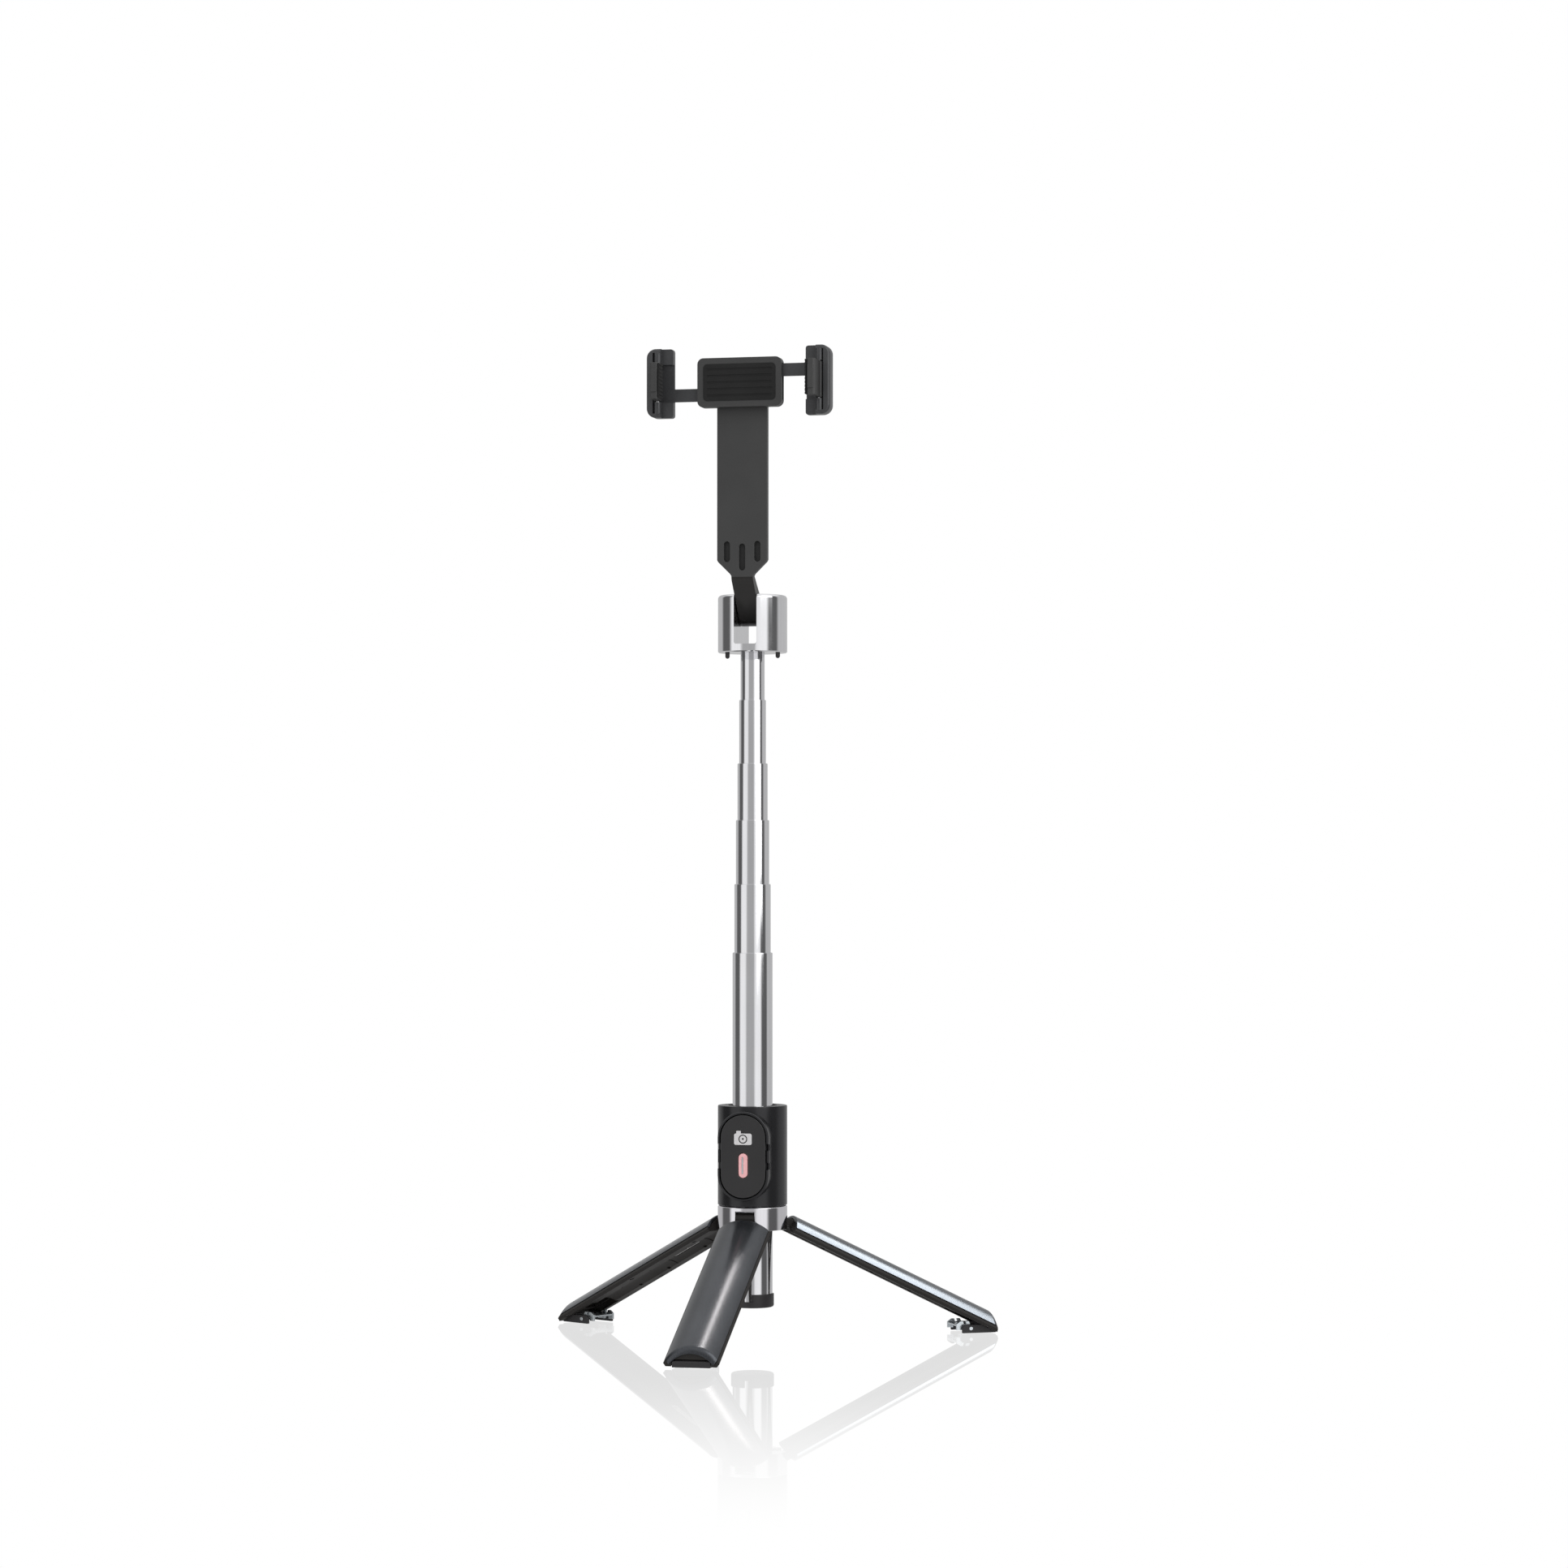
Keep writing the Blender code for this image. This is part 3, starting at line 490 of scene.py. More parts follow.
def make_head():
    """The polished head: a see-through slot for the neck, a socket below, and two dock pins."""
    low, high = size_of("head_block")
    shoulder_r = 1.8
    shoulder = arc((BODY_R - shoulder_r, high.z - shoulder_r), shoulder_r, 90, 0, 8)
    profile = [(0.0, high.z)] + shoulder
    profile += [(BODY_R, low.z + 0.5), (BODY_R - 0.5, low.z), (0.0, low.z)]
    head = turned("head_fine", profile)
    half, floor, corner = 5.7, 339.8, 1.2
    outline = [(half, high.z + 3), (-half, high.z + 3)]
    outline += arc((corner - half, floor + corner), corner, 180, 270, 6)
    outline += arc((half - corner, floor + corner), corner, 270, 360, 6)
    slot = slab("slot", outline, "XZ", -20.0, 20.0)
    socket_r, socket_top = size_of("tube_6")[1].x + 0.15, 338.5
    socket = rod("socket", socket_r, (0, 0, low.z - 2), (0, 0, socket_top), steps=64)
    pin_hole = rod("pin_hole", 1.9, (-9.8, 0, NECK_Z), (9.8, 0, NECK_Z))
    cut(head, slot, socket, pin_hole)
    pin_r, seat_r, seat_top = 1.1, 1.35, 339.3
    for name, _ in SIDES:
        tip_low, tip_high = size_of("dock_pin_" + name)
        pin_x = tip_low.x + pin_r
        cut(head, rod("dock_socket", seat_r, (pin_x, 0, low.z - 2), (pin_x, 0, seat_top)))
        profile = [(0.0, tip_high.z), (pin_r, tip_high.z)]
        profile += arc((0.0, tip_low.z + pin_r), pin_r, 0, -90, 6)
        pin = turned("dock_pin_%s_fine" % name, profile, 32)
        piece(pin, "head", LOOK["cap"], ["dock_pin_" + name],
              matrix=Matrix.Translation((pin_x, 0, 0)))
    piece(head, "head", LOOK["head"], ["head_block"], 0.2)


# ---------------------------------------------------------------- collar and remote

def make_collar():
    """The collar round the mast, with the rimmed cradle that the remote slots into."""
    low, high = size_of("collar_shell")
    bottom, top, front = low.z, high.z, low.y
    bore_r, mouth_r = 10.9, 11.9
    remote_z = middle_z("remote_back")
    profile = [(BODY_R - 0.5, top), (BODY_R - 0.12, top - 0.15), (BODY_R, top - 0.6),
               (BODY_R, bottom + 0.3), (BODY_R - 0.3, bottom), (bore_r, bottom),
               (bore_r, top - 1.2), (mouth_r, top - 0.9), (mouth_r, top)]
    collar = turned("collar_fine", profile)
    rim = slab("rim", stadium(25.4, 43.6, (0, remote_z)), "XZ", front, -11.6)
    rounded_edges(rim, 0.55, 4, 50)
    join(collar, rim)
    pocket = slab("pocket", stadium(23.4, 41.4, (0, remote_z)), "XZ", -24.0, -12.1)
    bore = rod("bore", bore_r, (0, 0, bottom - 5), (0, 0, top + 5), steps=FINE)
    cut(collar, pocket, bore)
    for _, side in SIDES:
        for height in (remote_z - 4.6, remote_z + 4.6):
            notch = stadium(2.4, 3.6, (side * 11.9, height), 8)
            cut(collar, slab("notch", notch, "XZ", -24.0, -17.4))
        gap = rounded((side * 12.4 - 1.9, remote_z - 5.2), (side * 12.4 + 1.9, remote_z + 5.2), 1.2)
        cut(collar, slab("finger_gap", gap, "XZ", -24.0, -19.4))
        dock_x = side * 12.7
        cut(collar, rod("dock_hole", 1.4, (dock_x, 0, top - 4.5), (dock_x, 0, top + 1)))
    piece(collar, "stand", LOOK["collar"], ["collar_shell"])


def camera_icon(face_y):
    """A generic camera: body, hump, lens ring and a dot, printed proud of the remote's face."""
    printed = (face_y - 0.06, face_y + 0.1)
    through = (face_y - 1, face_y + 1)
    icon_z = middle_z("remote_button") + 8.6
    body = rounded((-4.4, icon_z - 2.9), (4.4, icon_z + 2.6), 0.9)
    icon = slab("icon_body", body, "XZ", *printed)
    hump = rounded((-3.3, icon_z + 1.8), (-1.0, icon_z + 3.9), 0.35)
    join(icon, slab("hump", hump, "XZ", *printed))
    lens_z = icon_z - 0.1
    cut(icon, slab("ring", arc((0, lens_z), 2.2, 0, 350, 35), "XZ", *through))
    piece(icon, "shutter", LOOK["icon"])
    disc = slab("icon_lens", arc((0, lens_z), 1.65, 0, 350, 35), "XZ", *printed)
    cut(disc, slab("dot", arc((0, lens_z + 0.1), 0.5, 0, 340, 17), "XZ", *through))
    piece(disc, "shutter", LOOK["icon"])


def make_remote():
    """An oblong tray, a glossy face that clicks in, and a lens with a slit for its light."""
    wall, before = 1.0, -24.0
    back_low, back_high = size_of("remote_back")
    middle = (0.0, middle_z("remote_back"))
    wide, tall = back_high.x - back_low.x, back_high.z - back_low.z
    tray = slab("remote_tray", stadium(wide, tall, middle), "XZ", back_low.y, back_high.y)
    cavity = stadium(wide - 2 * wall, tall - 2 * wall, middle)
    cut(tray, slab("cavity", cavity, "XZ", before, back_high.y - wall))
    piece(tray, "remote", LOOK["collar"], ["remote_back"], 0.15)

    low, high = size_of("remote_button")
    outline = stadium(high.x - low.x, high.z - low.z, middle)
    face = slab("remote_face", outline, "XZ", low.y, high.y)
    light_low, light_high = size_of("remote_light")
    light_z = middle_z("remote_light")
    cut(face, slab("window", stadium(5.0, 12.4, (0.0, light_z)), "XZ", before, -16.0))
    piece(face, "shutter", LOOK["gloss"], ["remote_button"], 0.3)

    lens = stadium(4.4, 11.8, (0.0, light_z))
    light = slab("light_fine", lens, "XZ", light_low.y, light_high.y)
    slit_x, front = -0.3, light_low.y
    cut(light, slab("slit", stadium(0.9, 8.4, (slit_x, light_z)), "XZ", before, front + 0.35))
    piece(light, "remote", LOOK["light"], ["remote_light"], 0.3)
    guide = stadium(0.7, 8.2, (slit_x, light_z))
    guide = slab("light_guide", guide, "XZ", front + 0.12, front + 0.4)
    piece(guide, "remote", LOOK["clip"])
    camera_icon(low.y)


# ---------------------------------------------------------------- neck and clamp

def make_neck():
    """A round barrel in the head, an arm up to a bend, and a wide plate with three grooves."""
    low, high = size_of("neck_bracket")
    front, back = low.y, -19.0
    barrel_r, arm_x, corner_r, arm_top = 7.6, 5.4, 3.0, 372.3
    bend = Vector((front, 371.0 - NECK_Z))
    touch = math.degrees(math.atan2(bend.y, bend.x))
    touch += math.degrees(math.acos(barrel_r / bend.length)) - 360.0
    outline = arc((front + 3.0, 372.0), 3.0, 218, 180, 6)
    outline += [(front, high.z), (back, high.z), (back, 374.2), (back + 0.5, 372.6)]
    outline += [(-7.5, NECK_Z + barrel_r)] + arc((0.0, NECK_Z), barrel_r, 90.0, touch, 44)
    neck = slab("neck_fine", outline, "YZ", -high.x, high.x)
    corner_x, corner_z = high.x - corner_r, high.z - corner_r
    for _, side in SIDES:
        edge, far = side * (high.x + 0.05), side * (high.x + 4.0)
        near = side * arm_x
        beside = [(near, 330.0), (near, 372.4), (side * 5.9, 373.3), (side * 12.0, 379.3),
                  (edge, 380.4), (far, 380.4), (far, 330.0)]
        cut(neck, slab("waist", beside, "XZ", -30.0, 12.0))
        crown = [(side * corner_x, high.z + 0.01), (far, high.z + 0.01), (far, corner_z),
                 (edge, corner_z)]
        start = 0 if side > 0 else 180
        crown += arc((side * corner_x, corner_z), corner_r, start, 90, 8)[1:-1]
        cut(neck, slab("crown", crown, "XZ", -30.0, 12.0))
    grooves = [(-7.6, 384.3, 10.0), (7.6, 384.3, 10.0), (0.0, 381.6, 13.0)]
    for number, (x, z, tall) in enumerate(grooves, start=1):
        groove = stadium(3.0, tall, (x, z), 12)
        cut(neck, slab("groove", groove, "XZ", front - 2, front + 1.8))
        # A near-black sheet on each groove's floor is painted shade in the grooves.
        shade_sheet = stadium(2.9, tall - 0.1, (x, z), 12)
        shade_sheet = slab("groove_floor_%d" % number, shade_sheet, "XZ", front + 1.4, front + 1.78)
        piece(shade_sheet, "neck", LOOK["groove"])
    bore = rod("bore", 1.9, (-8, 0, NECK_Z), (8, 0, NECK_Z))
    hole = rod("hole", 2.3, (0, -26, CLAMP_Z), (0, -15, CLAMP_Z))
    recess = rod("recess", 4.4, (0, -20.8, CLAMP_Z), (0, -15, CLAMP_Z))
    cut(neck, bore, hole, recess)
    piece(neck, "neck", LOOK["neck"], ["neck_bracket"], 0.35)
    # The arm below the bend takes a darker copy of the neck's finish: painted shade, because the
    # arm faces down into the head's slot.
    neck.data.materials.append(LOOK["neck_arm_shaded"])
    for polygon in neck.data.polygons:
        if polygon.center.z < arm_top * MM:
            polygon.material_index = 1


def make_clamp():
    """A housing with a channel for the arms' bars, a ribbed grip in front, a cover behind."""
    low, high = size_of("clamp_housing")
    outline = rounded((low.x, low.z), (high.x, high.z), 3.0)
    housing = slab("housing_fine", outline, "XZ", low.y, high.y)
    half = 9.1
    cut(housing, box("channel", (low.x - 3, -26.3, CLAMP_Z - half),
                     (high.x + 3, -20.0, CLAMP_Z + half)))
    piece(housing, "clamp", LOOK["neck"], ["clamp_housing"], 0.35)
    grip = rounded((low.x + 3, CLAMP_Z - 9), (high.x - 3, CLAMP_Z + 9), 2.0)
    pad = slab("housing_grip", grip, "XZ", low.y - 0.25, low.y + 0.2)
    ribs, pitch = 5, 3.2
    for number in range(ribs):
        gap_z = CLAMP_Z + (number - ribs // 2) * pitch
        cut(pad, box("rib_gap", (-16.0, low.y - 1, gap_z - 0.5), (16.0, low.y - 0.02, gap_z + 0.5)))
    piece(pad, "clamp", LOOK["rubber"])
    low, high = size_of("clamp_cover")
    cover = slab("cover_fine", outline, "XZ", low.y, high.y)
    cut(cover, rod("hole", 2.3, (0, -30, CLAMP_Z), (0, -20, CLAMP_Z)))
    piece(cover, "clamp", LOOK["neck"], ["clamp_cover"], 0.2)


def mirrored(points, side):
    return [(side * first, second) for first, second in points]


def span(side, near, far):
    """From near to far out on one side, lowest first."""
    return (near, far) if side > 0 else (-far, -near)


def side_box(name, side, across, depth, height):
    """A box on one side: across is how far out, depth along y, height along z."""
    low_x, high_x = span(side, *across)
    return box(name, (low_x, depth[0], height[0]), (high_x, depth[1], height[1]))


def make_arm(name, side):
    """A frame beside the phone, on a bar that slides in the housing. Gives its jaw pin's place."""
    low, high = size_of("arm_" + name)
    inner, outer = 33.0, max(abs(low.x), abs(high.x))
    half = (high.z - low.z) / 2
    rim = 4.5
    outline = [(inner, CLAMP_Z - half)]
    outline += arc((outer - rim, CLAMP_Z - half + rim), rim, 270, 360, 10)
    outline += arc((outer - rim, CLAMP_Z + half - rim), rim, 0, 90, 10)
    outline += [(inner, CLAMP_Z + half)]
    arm = slab("arm_%s_fine" % name, mirrored(outline, side), "XZ", low.y, high.y)
    rounded_edges(arm, 1.3, 4, 60)
    lane = (CLAMP_Z + 2.6, CLAMP_Z + 8.8) if side > 0 else (CLAMP_Z - 8.8, CLAMP_Z - 2.6)
    join(arm, side_box("bar", side, (-8.0, 34.6), (-26.0, -24.2), lane))
    hollows = [("shelf", 38.6, -28.2, 20), ("window", 42.3, -26.1, 9.2),
               ("recess", 42.5, -29.6, 14.8)]
    cut(arm, *[side_box(hollow, side, (30.0, far), (-36.0, deep), (CLAMP_Z - up, CLAMP_Z + up))
               for hollow, far, deep, up in hollows])
    pin_low, pin_high = size_of("jaw_pin_" + name)
    pin_x, pin_y = (pin_low.x + pin_high.x) / 2, (pin_low.y + pin_high.y) / 2
    for sign in (-1, 1):
        near, far = CLAMP_Z + sign * 9.25, CLAMP_Z + sign * 15.2
        join(arm, rod("barrel", 1.75, (pin_x, pin_y, near), (pin_x, pin_y, far)))
    piece(arm, "arm_" + name, LOOK["arm"], ["arm_" + name])
    return pin_x, pin_y


def make_jaw(name, side, pin_x, pin_y):
    """A hooked wall on its pin, a raised button on its front, and a ribbed rubber pad inside."""
    body = "jaw_" + name
    wall_in, wall_out, tip_x, front, back = 38.7, 41.0, 36.8, -44.5, -36.9
    barrel_r = 1.7
    pin = (abs(pin_x), pin_y)
    first = -math.degrees(math.acos((wall_out - pin[0]) / barrel_r))
    last = 360.0 - math.degrees(math.acos((wall_in - pin[0]) / barrel_r))
    outline = arc(pin, barrel_r, first, last, 30)
    outline += [(wall_in, back), (tip_x, back), (tip_x, front + 1.2), (tip_x + 0.8, front + 0.45),
                (wall_out - 0.9, front + 0.45), (wall_out, front + 1.3)]
    low, high = size_of(body)
    jaw = slab("jaw_%s_fine" % name, mirrored(outline, side), "XY", low.z, high.z)
    cut(jaw, rod("bore", 1.1, (pin_x, pin_y, low.z - 2), (pin_x, pin_y, high.z + 2)))
    piece(jaw, body, LOOK["neck"], [body], 0.3)
    x_low, x_high = span(side, 37.3, 40.3)
    raised = rounded((x_low, CLAMP_Z - 5.6), (x_high, CLAMP_Z + 5.6), 0.3, 3)
    button = slab("jaw_%s_boss" % name, raised, "XZ", front, front + 0.8)
    piece(button, body, LOOK["neck"], (), 0.28)

    pad_low, pad_high = size_of("jaw_pad_" + name)
    x_low, x_high = pad_low.x, pad_high.x
    into_wall, rib_depth, ribs, pitch = 0.28, 0.18, 9, 1.8
    if side > 0:
        x_high += into_wall
    else:
        x_low -= into_wall
    outline = rounded((x_low, pad_low.y), (x_high, pad_high.y), 0.2, 3)
    pad = slab("jaw_%s_pad" % name, outline, "XY", pad_low.z, pad_high.z)
    edge = x_low if side > 0 else x_high
    for number in range(ribs):
        rib = CLAMP_Z + (number - ribs // 2) * pitch
        cut(pad, box("rib_gap", (edge - rib_depth, front - 1, rib - 0.3),
                     (edge + rib_depth, back + 1, rib + 0.3)))
    piece(pad, body, LOOK["rubber"], ["jaw_pad_" + name])


# ---------------------------------------------------------------- legs and feet

def leg_opened(direction):
    """Carries a leg drawn closed, out along +X, to its open place."""
    pivot = Matrix.Translation((LEG_PIVOT[0], 0.0, LEG_PIVOT[1]))
    swing = Matrix.Rotation(-math.radians(LEG_OPEN), 4, "Y")
    return leg_turn(direction) @ pivot @ swing @ pivot.inverted()


def below_end(inset, outer_round):
    """What is cut away below the leg's slanted end, whose outer edge is rounded."""
    rise = math.tan(END_SLOPE)
    shift = inset / math.cos(END_SLOPE)
    inner = LEG_TIP.x - 4.0
    centre_u = BODY_R - outer_round + 0.1
    centre_z = LEG_TIP.y + (centre_u - LEG_TIP.x) * rise + outer_round / math.cos(END_SLOPE)
    outline = [(inner, LEG_TIP.y - 4.0 * rise)]
    outline += arc((centre_u, centre_z), outer_round, -LEG_OPEN, 0.0, 12)
    outline += [(BODY_R + 5.0, centre_z), (BODY_R + 5.0, -90.0), (inner, -90.0)]
    return slab("end_cut", [(u, z + shift) for u, z in outline], "XZ", -20.0, 20.0)


def swept(name, profile, half_angle):
    """A closed (radius, height) profile swept part of the way round the mast.

    Its low end leans with the leg's slanted end.
    """
    steps = 64
    rise = math.tan(END_SLOPE)
    bm = bmesh.new()
    rows = []
    for step in range(steps + 1):
        angle = math.radians(half_angle * (2 * step / steps - 1))
        row = []
        for radius, height in profile:
            u, v = radius * math.cos(angle), radius * math.sin(angle)
            lean = (u - LEG_TIP.x) * rise if height < 0 else 0.0
            row.append(bm.verts.new((u, v, height + lean)))
        rows.append(row)
    for first, second in zip(rows, rows[1:]):
        for index in range(len(profile)):
            after = (index + 1) % len(profile)
            bm.faces.new((first[index], first[after], second[after], second[index]))
    bm.faces.new(rows[0])
    bm.faces.new(rows[-1][::-1])
    closed_outward(bm)
    return mesh_object(name, bm)


def make_leg_shell(direction, body, opened):
    """A curved cover whose tip rounds over into a thick lip."""
    end, wall, nose = LEG_TIP.y, 15.6, 2.5
    profile = arc((BODY_R - 0.5, LEG_TOP - 0.5), 0.5, 90, 0, 5)
    profile += arc((BODY_R - nose, end + nose), nose, 0, -90, 14)
    profile += [(BODY_R - nose - 0.1, end + 0.3), (BODY_R - nose + 0.1, end + 1.0),
                (wall, end + nose), (wall, LEG_TOP)]
    shell = swept("leg_shell_%s_fine" % direction, profile, 47.0)
    piece(shell, body, LOOK["shell"], ["leg_shell_" + direction], 0.3, opened)


def make_leg_liner(direction, body, opened):
    """The dark inner half: a channel for the mast, a knuckle, and pockets for foot and plate."""
    face, liner_r, edge_r, edge, channel_r = LEG_TIP.x, 15.4, 16.7, 47.9, 10.9
    wide = math.degrees(math.acos((face + 1.3) / edge_r))
    narrow = math.degrees(math.acos(face / channel_r))
    corner = edge_r * math.sin(math.radians(wide)) - 0.7
    outline = [(face, -corner + 0.4)] + arc((0, 0), edge_r, -wide, -edge, 10)
    outline += arc((0, 0), liner_r, -edge, edge, 40) + arc((0, 0), edge_r, edge, wide, 10)
    outline += [(face, corner - 0.4)] + arc((0, 0), channel_r, narrow, -narrow, 24)
    liner = slab("leg_liner_%s_fine" % direction, outline, "XY", -74.0, LEG_TOP)
    low_u, high_u, knuckle_r = 11.2, 14.4, 2.9
    out = LEG_PIVOT[0]
    first = -math.degrees(math.acos((high_u - out) / knuckle_r))
    last = 360.0 - math.degrees(math.acos((low_u - out) / knuckle_r))
    outline = [(low_u, 49.0), (high_u, 49.0)] + arc(LEG_PIVOT, knuckle_r, first, last, 32)
    join(liner, slab("knuckle", outline, "XZ", -4.5, 4.5))
    cutters = [
        below_end(0.9, 2.5),
        box("foot_pocket", (2.0, -9.5, -80.0), (11.7, 9.5, -41.0)),
        box("clip_recess", (2.0, -7.4, -57.0), (13.3, 7.4, -42.5)),
        slab("plate_recess", stadium(4.1, 20.1, (0, PLATE_Z)), "YZ", 8.0, 12.3),
        cross_rod("bore", 1.5, 9.0, LEG_PIVOT),
        cross_rod("foot_hole", 0.9, 11.3, FOOT_PIN_CLOSED, steps=20),
    ]
    for height in (8.5, 36.5):
        above, below = height + 0.4, height - 0.4
        groove = [(11.2, above), (9.0, above), (9.0, below), (11.2, below)]
        cutters.append(turned("channel_groove", groove, 48))
    for _, side in SIDES:
        for height in (-20.0, 2.0, 30.0):
            low_v, high_v = span(side, 5.5, 7.3)
            cutters.append(box("notch", (7.0, low_v, height - 0.9), (9.5, high_v, height + 0.9)))
        for place in screw_places(side):
            cutters.append(rod("screw_seat", 1.25, (7.5, *place), (9.35, *place), steps=28))
    cut(liner, *cutters)
    piece(liner, body, LOOK["liner"], ["leg_liner_" + direction], 0.12, opened)


def screw_places(side):
    """Where the three screws of one side are: across the leg, and up."""
    return [(side * 10.4, 39.0), (side * 10.4, -9.0), (side * 11.4, -58.5)]


def screw(place):
    """A pan-headed screw in the liner's face, with a crossed drive."""
    head = rod("leg_screw", 1.15, (10.0, *place), (8.95, *place), 0.2, 28)
    v, z = place
    for half_v, half_z in ((0.75, 0.16), (0.16, 0.75)):
        cut(head, box("drive", (8.0, v - half_v, z - half_z), (9.3, v + half_v, z + half_z)))
    return head


def gathered(name, parts):
    """One object holding several separate closed meshes."""
    bm = bmesh.new()
    for part in parts:
        bm.from_mesh(part.data)
        bpy.data.objects.remove(part, do_unlink=True)
    return mesh_object(name, bm)


def make_leg(direction):
    body = "leg_" + direction
    opened = leg_opened(direction)
    make_leg_shell(direction, body, opened)
    make_leg_liner(direction, body, opened)
    screws = [screw(place) for _, side in SIDES for place in screw_places(side)]
    screws = gathered("leg_screws_" + direction, screws)
    piece(screws, body, LOOK["screw"], matrix=opened)
    outline = stadium(4.0, 20.0, (0, PLATE_Z))
    plate = slab("leg_plate_%s_fine" % direction, outline, "YZ", 11.0, 12.2)
    cut(plate, rod("hole", 0.9, (10.0, 0.0, 15.0), (11.7, 0.0, 15.0), steps=28))
    cut(plate, slab("label_recess", stadium(2.4, 10.5, (0, 24.5)), "YZ", 10.0, 11.15))
    piece(plate, body, LOOK["plate"], ["leg_plate_" + direction], 0.2, opened)


def make_foot(direction):
    """A dark frame hinged at the leg's tip, and a bright clip whose ears stand above it."""
    body = "foot_" + direction
    turn = leg_turn(direction)
    end, tall, length = TIP_R - 0.4, 4.2, 18.0
    heel, pin = TIP_R - length, (TIP_R - FOOT_PIN_UP, FOOT_PIN_UP)
    side = [(end, 0.0), (end, 2.8), (TIP_R - 3.2, tall), (heel + 1.0, tall), (heel, tall - 1.0),
            (heel, 0.0)]
    foot = slab("foot_frame_%s_fine" % direction, side, "XZ", -9.2, 9.2)
    cut(foot, box("well", (TIP_R - 40, -7.7, -2), (TIP_R - 5, 7.7, 8)))
    cut(foot, cross_rod("bore", 0.9, 12.0, pin))
    piece(foot, body, LOOK["cap"], ["foot_frame_" + direction], 0.3, turn)

    far, near = TIP_R - 20.5, TIP_R - 10.0
    clip = box("foot_clip_%s_fine" % direction, (far, -7.2, 1.4), (near, 7.2, 4.1))
    ears = [(near - 3.0, 3.6), (near - 4.0, 5.8), (near - 8.4, 5.8), (near - 10.5, 4.4),
            (near - 10.5, 3.6)]
    join(clip, slab("ears", ears, "XZ", -7.2, 7.2))
    cut(clip, box("under", (far - 2, -6.2, -1), (near + 2, 6.2, 3.3)))
    cut(clip, box("between", (far - 2, -6.0, 4.1), (near + 2, 6.0, 9.0)))
    cut(clip, box("low_notch", (far + 3.0, -9.0, 0.0), (far + 5.5, 9.0, 2.8)))
    slanted = [(near - 6.6, 4.4), (near - 5.3, 4.4), (near - 6.5, 8.0), (near - 7.8, 8.0)]
    cut(clip, slab("slot", slanted, "XZ", -9.0, 9.0))
    piece(clip, body, LOOK["clip"], ["foot_clip_" + direction], 0.14, turn)

    out, up = TIP_R - 13.5, 2.3
    stubs = [rod("stub", 1.05, (out, sign * 7.4, up), (out, sign * 9.35, up), 0.25)
             for sign in (-1, 1)]
    piece(gathered("foot_rivets_" + direction, stubs), body, LOOK["clip"], matrix=turn)


# ---------------------------------------------------------------- pieces shown as packed

def paint_carried_over():
    """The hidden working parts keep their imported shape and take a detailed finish."""
    looks = {"guide_bush": "bearing", "bush_": "bearing", "remote_board": "board"}
    steel = ("foot_pin", "neck_pin", "clamp_bolt", "clamp_spring", "jaw_pin", "remote_battery")
    looks.update({start: "steel" for start in steel})
    for name, obj in frame["nodes"].items():
        for start, look in looks.items():
            if name.startswith(start):
                obj.data.materials.clear()
                obj.data.materials.append(LOOK[look])


# ---------------------------------------------------------------- camera, floor and light

def make_camera():
    """A view through a long lens, from a little right of the front."""
    distance, height = 2.056, 0.2318
    azimuth, tilt, swing = math.radians(13.3), math.radians(91.11), math.radians(0.43)
    data = bpy.data.cameras.new("camera")
    data.lens = 96.15
    data.sensor_width = 36.0
    camera = bpy.data.objects.new("camera", data)
    bpy.context.scene.collection.objects.link(camera)
    camera.location = (distance * math.sin(azimuth), MAST_Y - distance * math.cos(azimuth), height)
    camera.rotation_euler = (tilt, 0.0, azimuth - swing)
    bpy.context.scene.camera = camera


def make_floor():
    """A glowing white sheet like the world, with a faint reflection near the object.

    Only the camera sees it: it lets all other rays through.
    """
    bm = bmesh.new()
    bmesh.ops.create_grid(bm, x_segments=2, y_segments=2, size=6.0)
    floor = mesh_object("floor", bm)
    floor.location = (0.0, MAST_Y, -0.0004)
    material, tree, shader = new_material("floor_white", (0.9, 0.9, 0.9), 0.1)
    tree.nodes.remove(shader)
    glow = add(tree, "Emission", {"Color": WHITE, "Strength": 1.0})
    mirror = add(tree, "BsdfGlossy", {"Roughness": 0.0, "Color": WHITE})
    place = add(tree, "TexCoord", {})
    distance = tree.nodes.new("ShaderNodeVectorMath")
    distance.operation = "LENGTH"
    feed(tree, distance, {0: place.outputs["Object"]})
    fade = add(tree, "MapRange", {"From Min": 0.12, "From Max": 0.60, "To Min": 0.26,
                                  "To Max": 0.0, "Value": distance.outputs["Value"]})
    fade.interpolation_type = "SMOOTHSTEP"
    sheen = add(tree, "MixShader", {"Fac": fade.outputs["Result"], 1: glow.outputs["Emission"],
                                    2: mirror.outputs["BSDF"]})
    paths = add(tree, "LightPath", {})
    unseen = add(tree, "BsdfTransparent", {})
    chosen = add(tree, "MixShader", {"Fac": paths.outputs["Is Camera Ray"],
                                     1: unseen.outputs["BSDF"], 2: sheen.outputs["Shader"]})
    feed(tree, tree.nodes["Material Output"], {"Surface": chosen.outputs["Shader"]})
    floor.data.materials.append(material)


# A plain studio: grey brightness met in each direction round the mast, in degrees from the
# front, alike on both sides, with a tall soft box and a dark gap on each
SURROUND = [
    (-180, 0.55), (-110, 0.55), (-100, 0.12), (-70, 0.12), (-60, 1.0), (-30, 1.0), (-20, 0.45),
    (20, 0.45), (30, 1.0), (60, 1.0), (70, 0.12), (100, 0.12), (110, 0.55), (180, 0.55),
]


def calculated(tree, operation, *values):
    """One step of arithmetic on numbers or other nodes' outputs."""
    node = tree.nodes.new("ShaderNodeMath")
    node.operation = operation
    return feed(tree, node, dict(enumerate(values))).outputs["Value"]


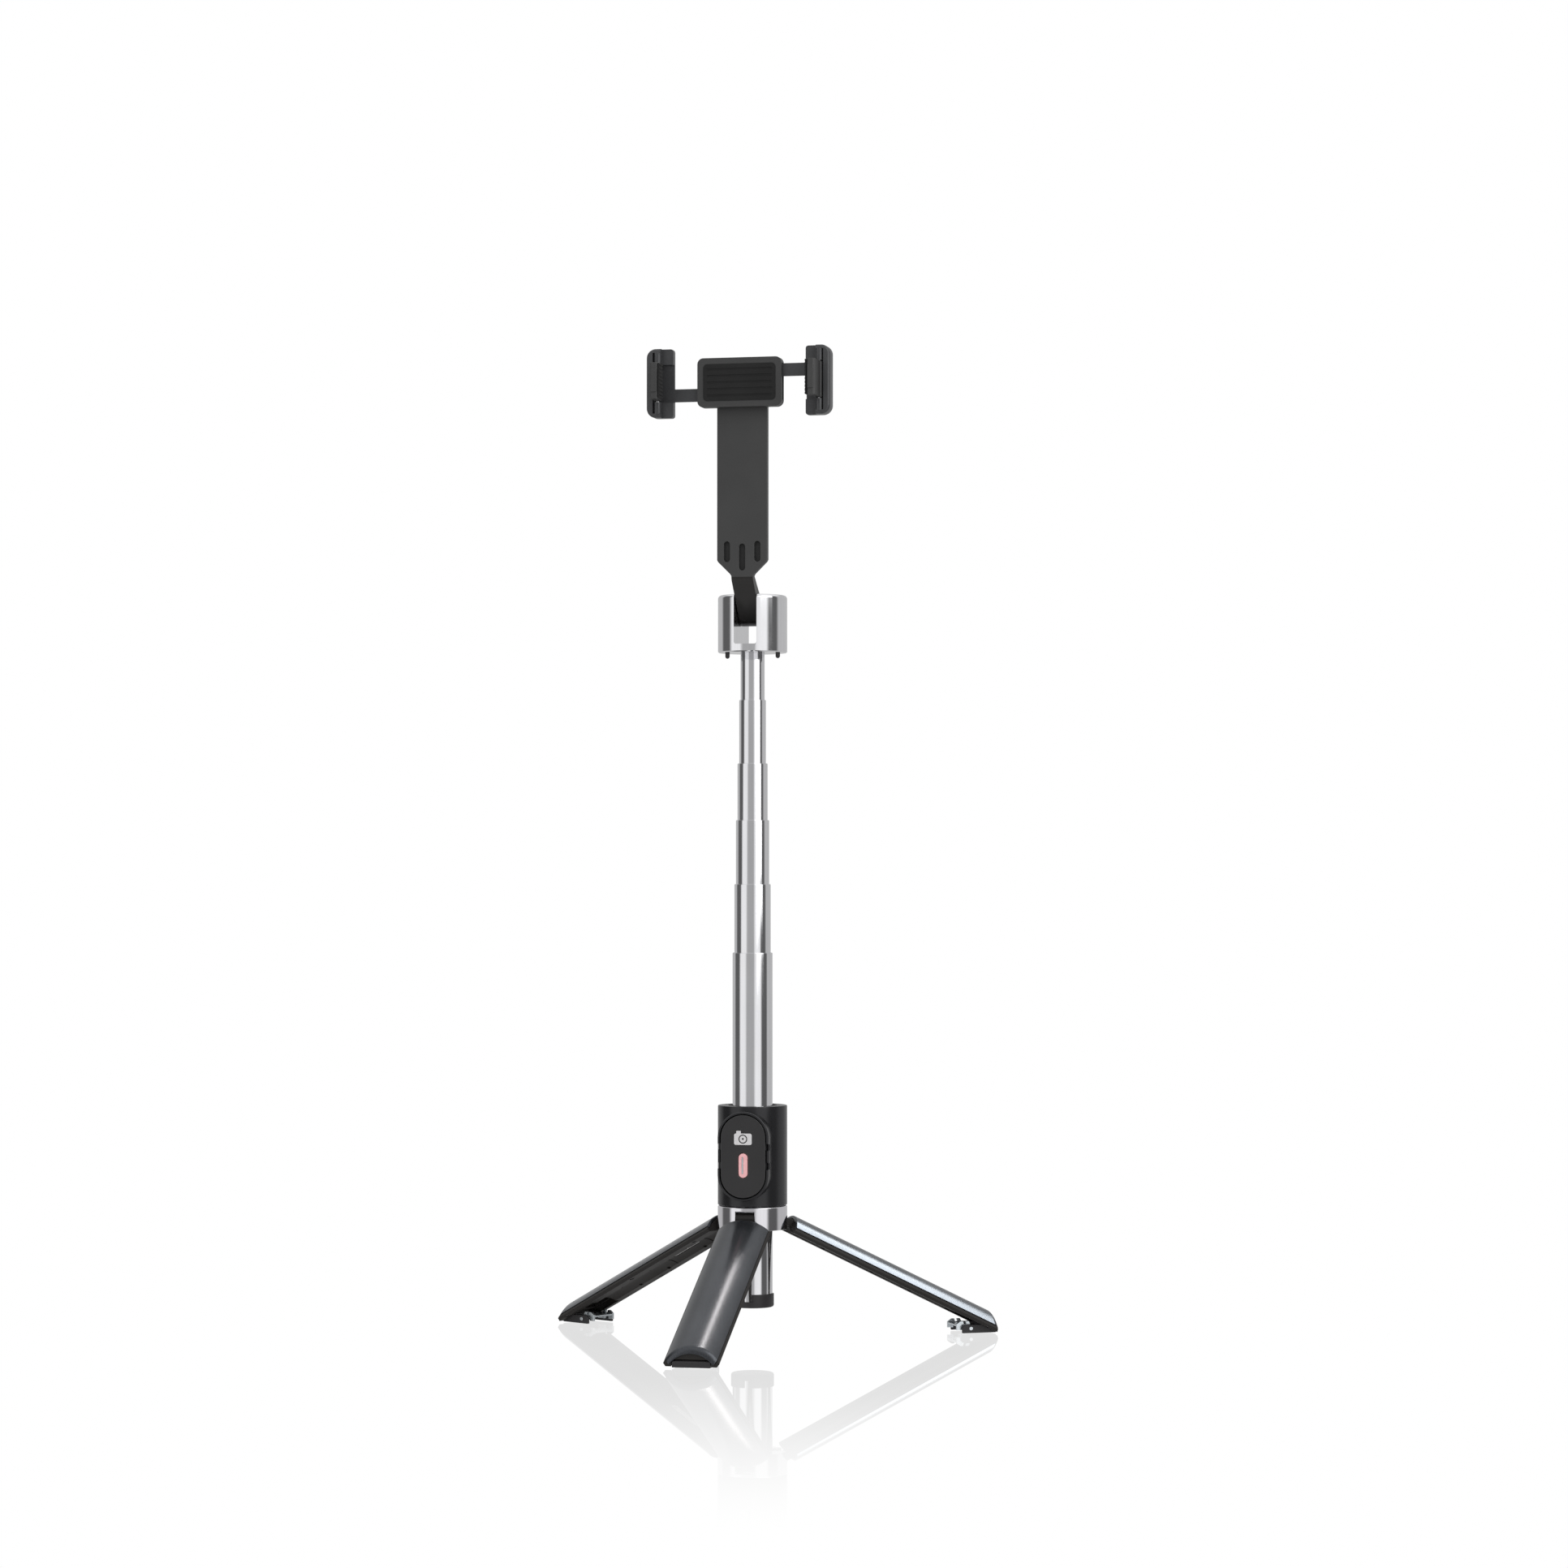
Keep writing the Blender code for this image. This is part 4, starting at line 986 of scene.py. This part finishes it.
def towards_white(tree, factor, colour):
    mix = tree.nodes.new("ShaderNodeMix")
    mix.data_type = "RGBA"
    return feed(tree, mix, {"B": WHITE, "Factor": factor, "A": colour}).outputs["Result"]


def make_world():
    """Upright bands of light and dark for the polished parts, and a bright sky.

    It is plain white to the eye, and in a perfect mirror like the floor.
    """
    world = bpy.data.worlds.new("studio")
    bpy.context.scene.world = world
    world.use_nodes = True
    tree = world.node_tree
    place = add(tree, "TexCoord", {})
    apart = add(tree, "SeparateXYZ", {"Vector": place.outputs["Generated"]})
    back = calculated(tree, "MULTIPLY", apart.outputs["Y"], -1.0)
    angle = calculated(tree, "ARCTAN2", apart.outputs["X"], back)
    bands = tree.nodes.new("ShaderNodeValToRGB")
    stops = bands.color_ramp.elements
    while len(stops) > 1:
        stops.remove(stops[-1])
    for number, (degrees, grey) in enumerate(SURROUND):
        stop = stops[0] if number == 0 else stops.new((degrees + 180) / 360)
        stop.position = (degrees + 180) / 360
        stop.color = (grey, grey, grey, 1.0)
    feed(tree, bands, {"Fac": spread(tree, angle, (-math.pi, math.pi), (0.0, 1.0))})
    sky = spread(tree, apart.outputs["Z"], (0.55, 0.75), (0.0, 1.0))
    overhead = towards_white(tree, sky, bands.outputs["Color"])
    paths = add(tree, "LightPath", {})
    straight = calculated(tree, "MAXIMUM", paths.outputs["Is Camera Ray"],
                          paths.outputs["Is Singular Ray"])
    seen = towards_white(tree, straight, overhead)
    feed(tree, tree.nodes["Background"], {"Color": seen})


def softbox(name, aim, azimuth, elevation, size, brightness, colour=(1.0, 1.0, 1.0), lit=()):
    """An oblong lamp one metre from its aim, lighting only the pieces in lit, if any are given.

    Its azimuth goes round from the front towards the right. size is in metres.
    """
    data = bpy.data.lights.new(name, "AREA")
    data.shape = "RECTANGLE"
    data.size, data.size_y = size
    data.energy = brightness * math.pi * size[0] * size[1]
    data.color = colour
    lamp = bpy.data.objects.new(name, data)
    bpy.context.scene.collection.objects.link(lamp)
    turn, rise = math.radians(azimuth), math.radians(elevation)
    away = Vector((math.sin(turn) * math.cos(rise), -math.cos(turn) * math.cos(rise),
                   math.sin(rise)))
    lamp.location = Vector(aim) + away
    lamp.rotation_euler = away.to_track_quat("Z", "Y").to_euler()
    if lit:
        group = bpy.data.collections.new(name + "_lights")
        for piece_name in lit:
            group.objects.link(bpy.data.objects[piece_name])
        lamp.light_linking.receiver_collection = group


make_tubes()
make_cap()
make_hub()
make_head()
make_collar()
make_remote()
make_neck()
make_clamp()
for arm_name, arm_side in SIDES:
    make_jaw(arm_name, arm_side, *make_arm(arm_name, arm_side))
for leg_direction in DIRECTIONS:
    make_leg(leg_direction)
    make_foot(leg_direction)
paint_carried_over()
make_camera()
make_floor()
make_world()
LEG_MIDDLE = {}
for leg_direction, bearing in DIRECTIONS.items():
    leg_angle = math.radians(bearing)
    LEG_MIDDLE[leg_direction] = Vector((0.065 * math.cos(leg_angle),
                                        MAST_Y + 0.065 * math.sin(leg_angle), 0.03))
softbox("right_leg_sheen", LEG_MIDDLE["right"], 128.0, 46.0, (0.75, 0.30), 13.0,
        (0.93, 0.98, 1.0), ["leg_shell_right_fine"])
softbox("front_leg_streak", LEG_MIDDLE["front"], 169.0, 64.0, (0.07, 0.8), 20.0,
        (1.0, 0.93, 0.88), ["leg_shell_front_fine"])
softbox("left_leg_sheen", LEG_MIDDLE["left"], -143.0, 20.0, (0.9, 0.6), 0.25,
        (0.97, 0.98, 1.0), ["leg_shell_left_fine"])
softbox("key", (0.0, MAST_Y, 0.2), 60.0, 35.0, (0.8, 0.8), 1.6)
bpy.context.scene.view_settings.view_transform = "Standard"
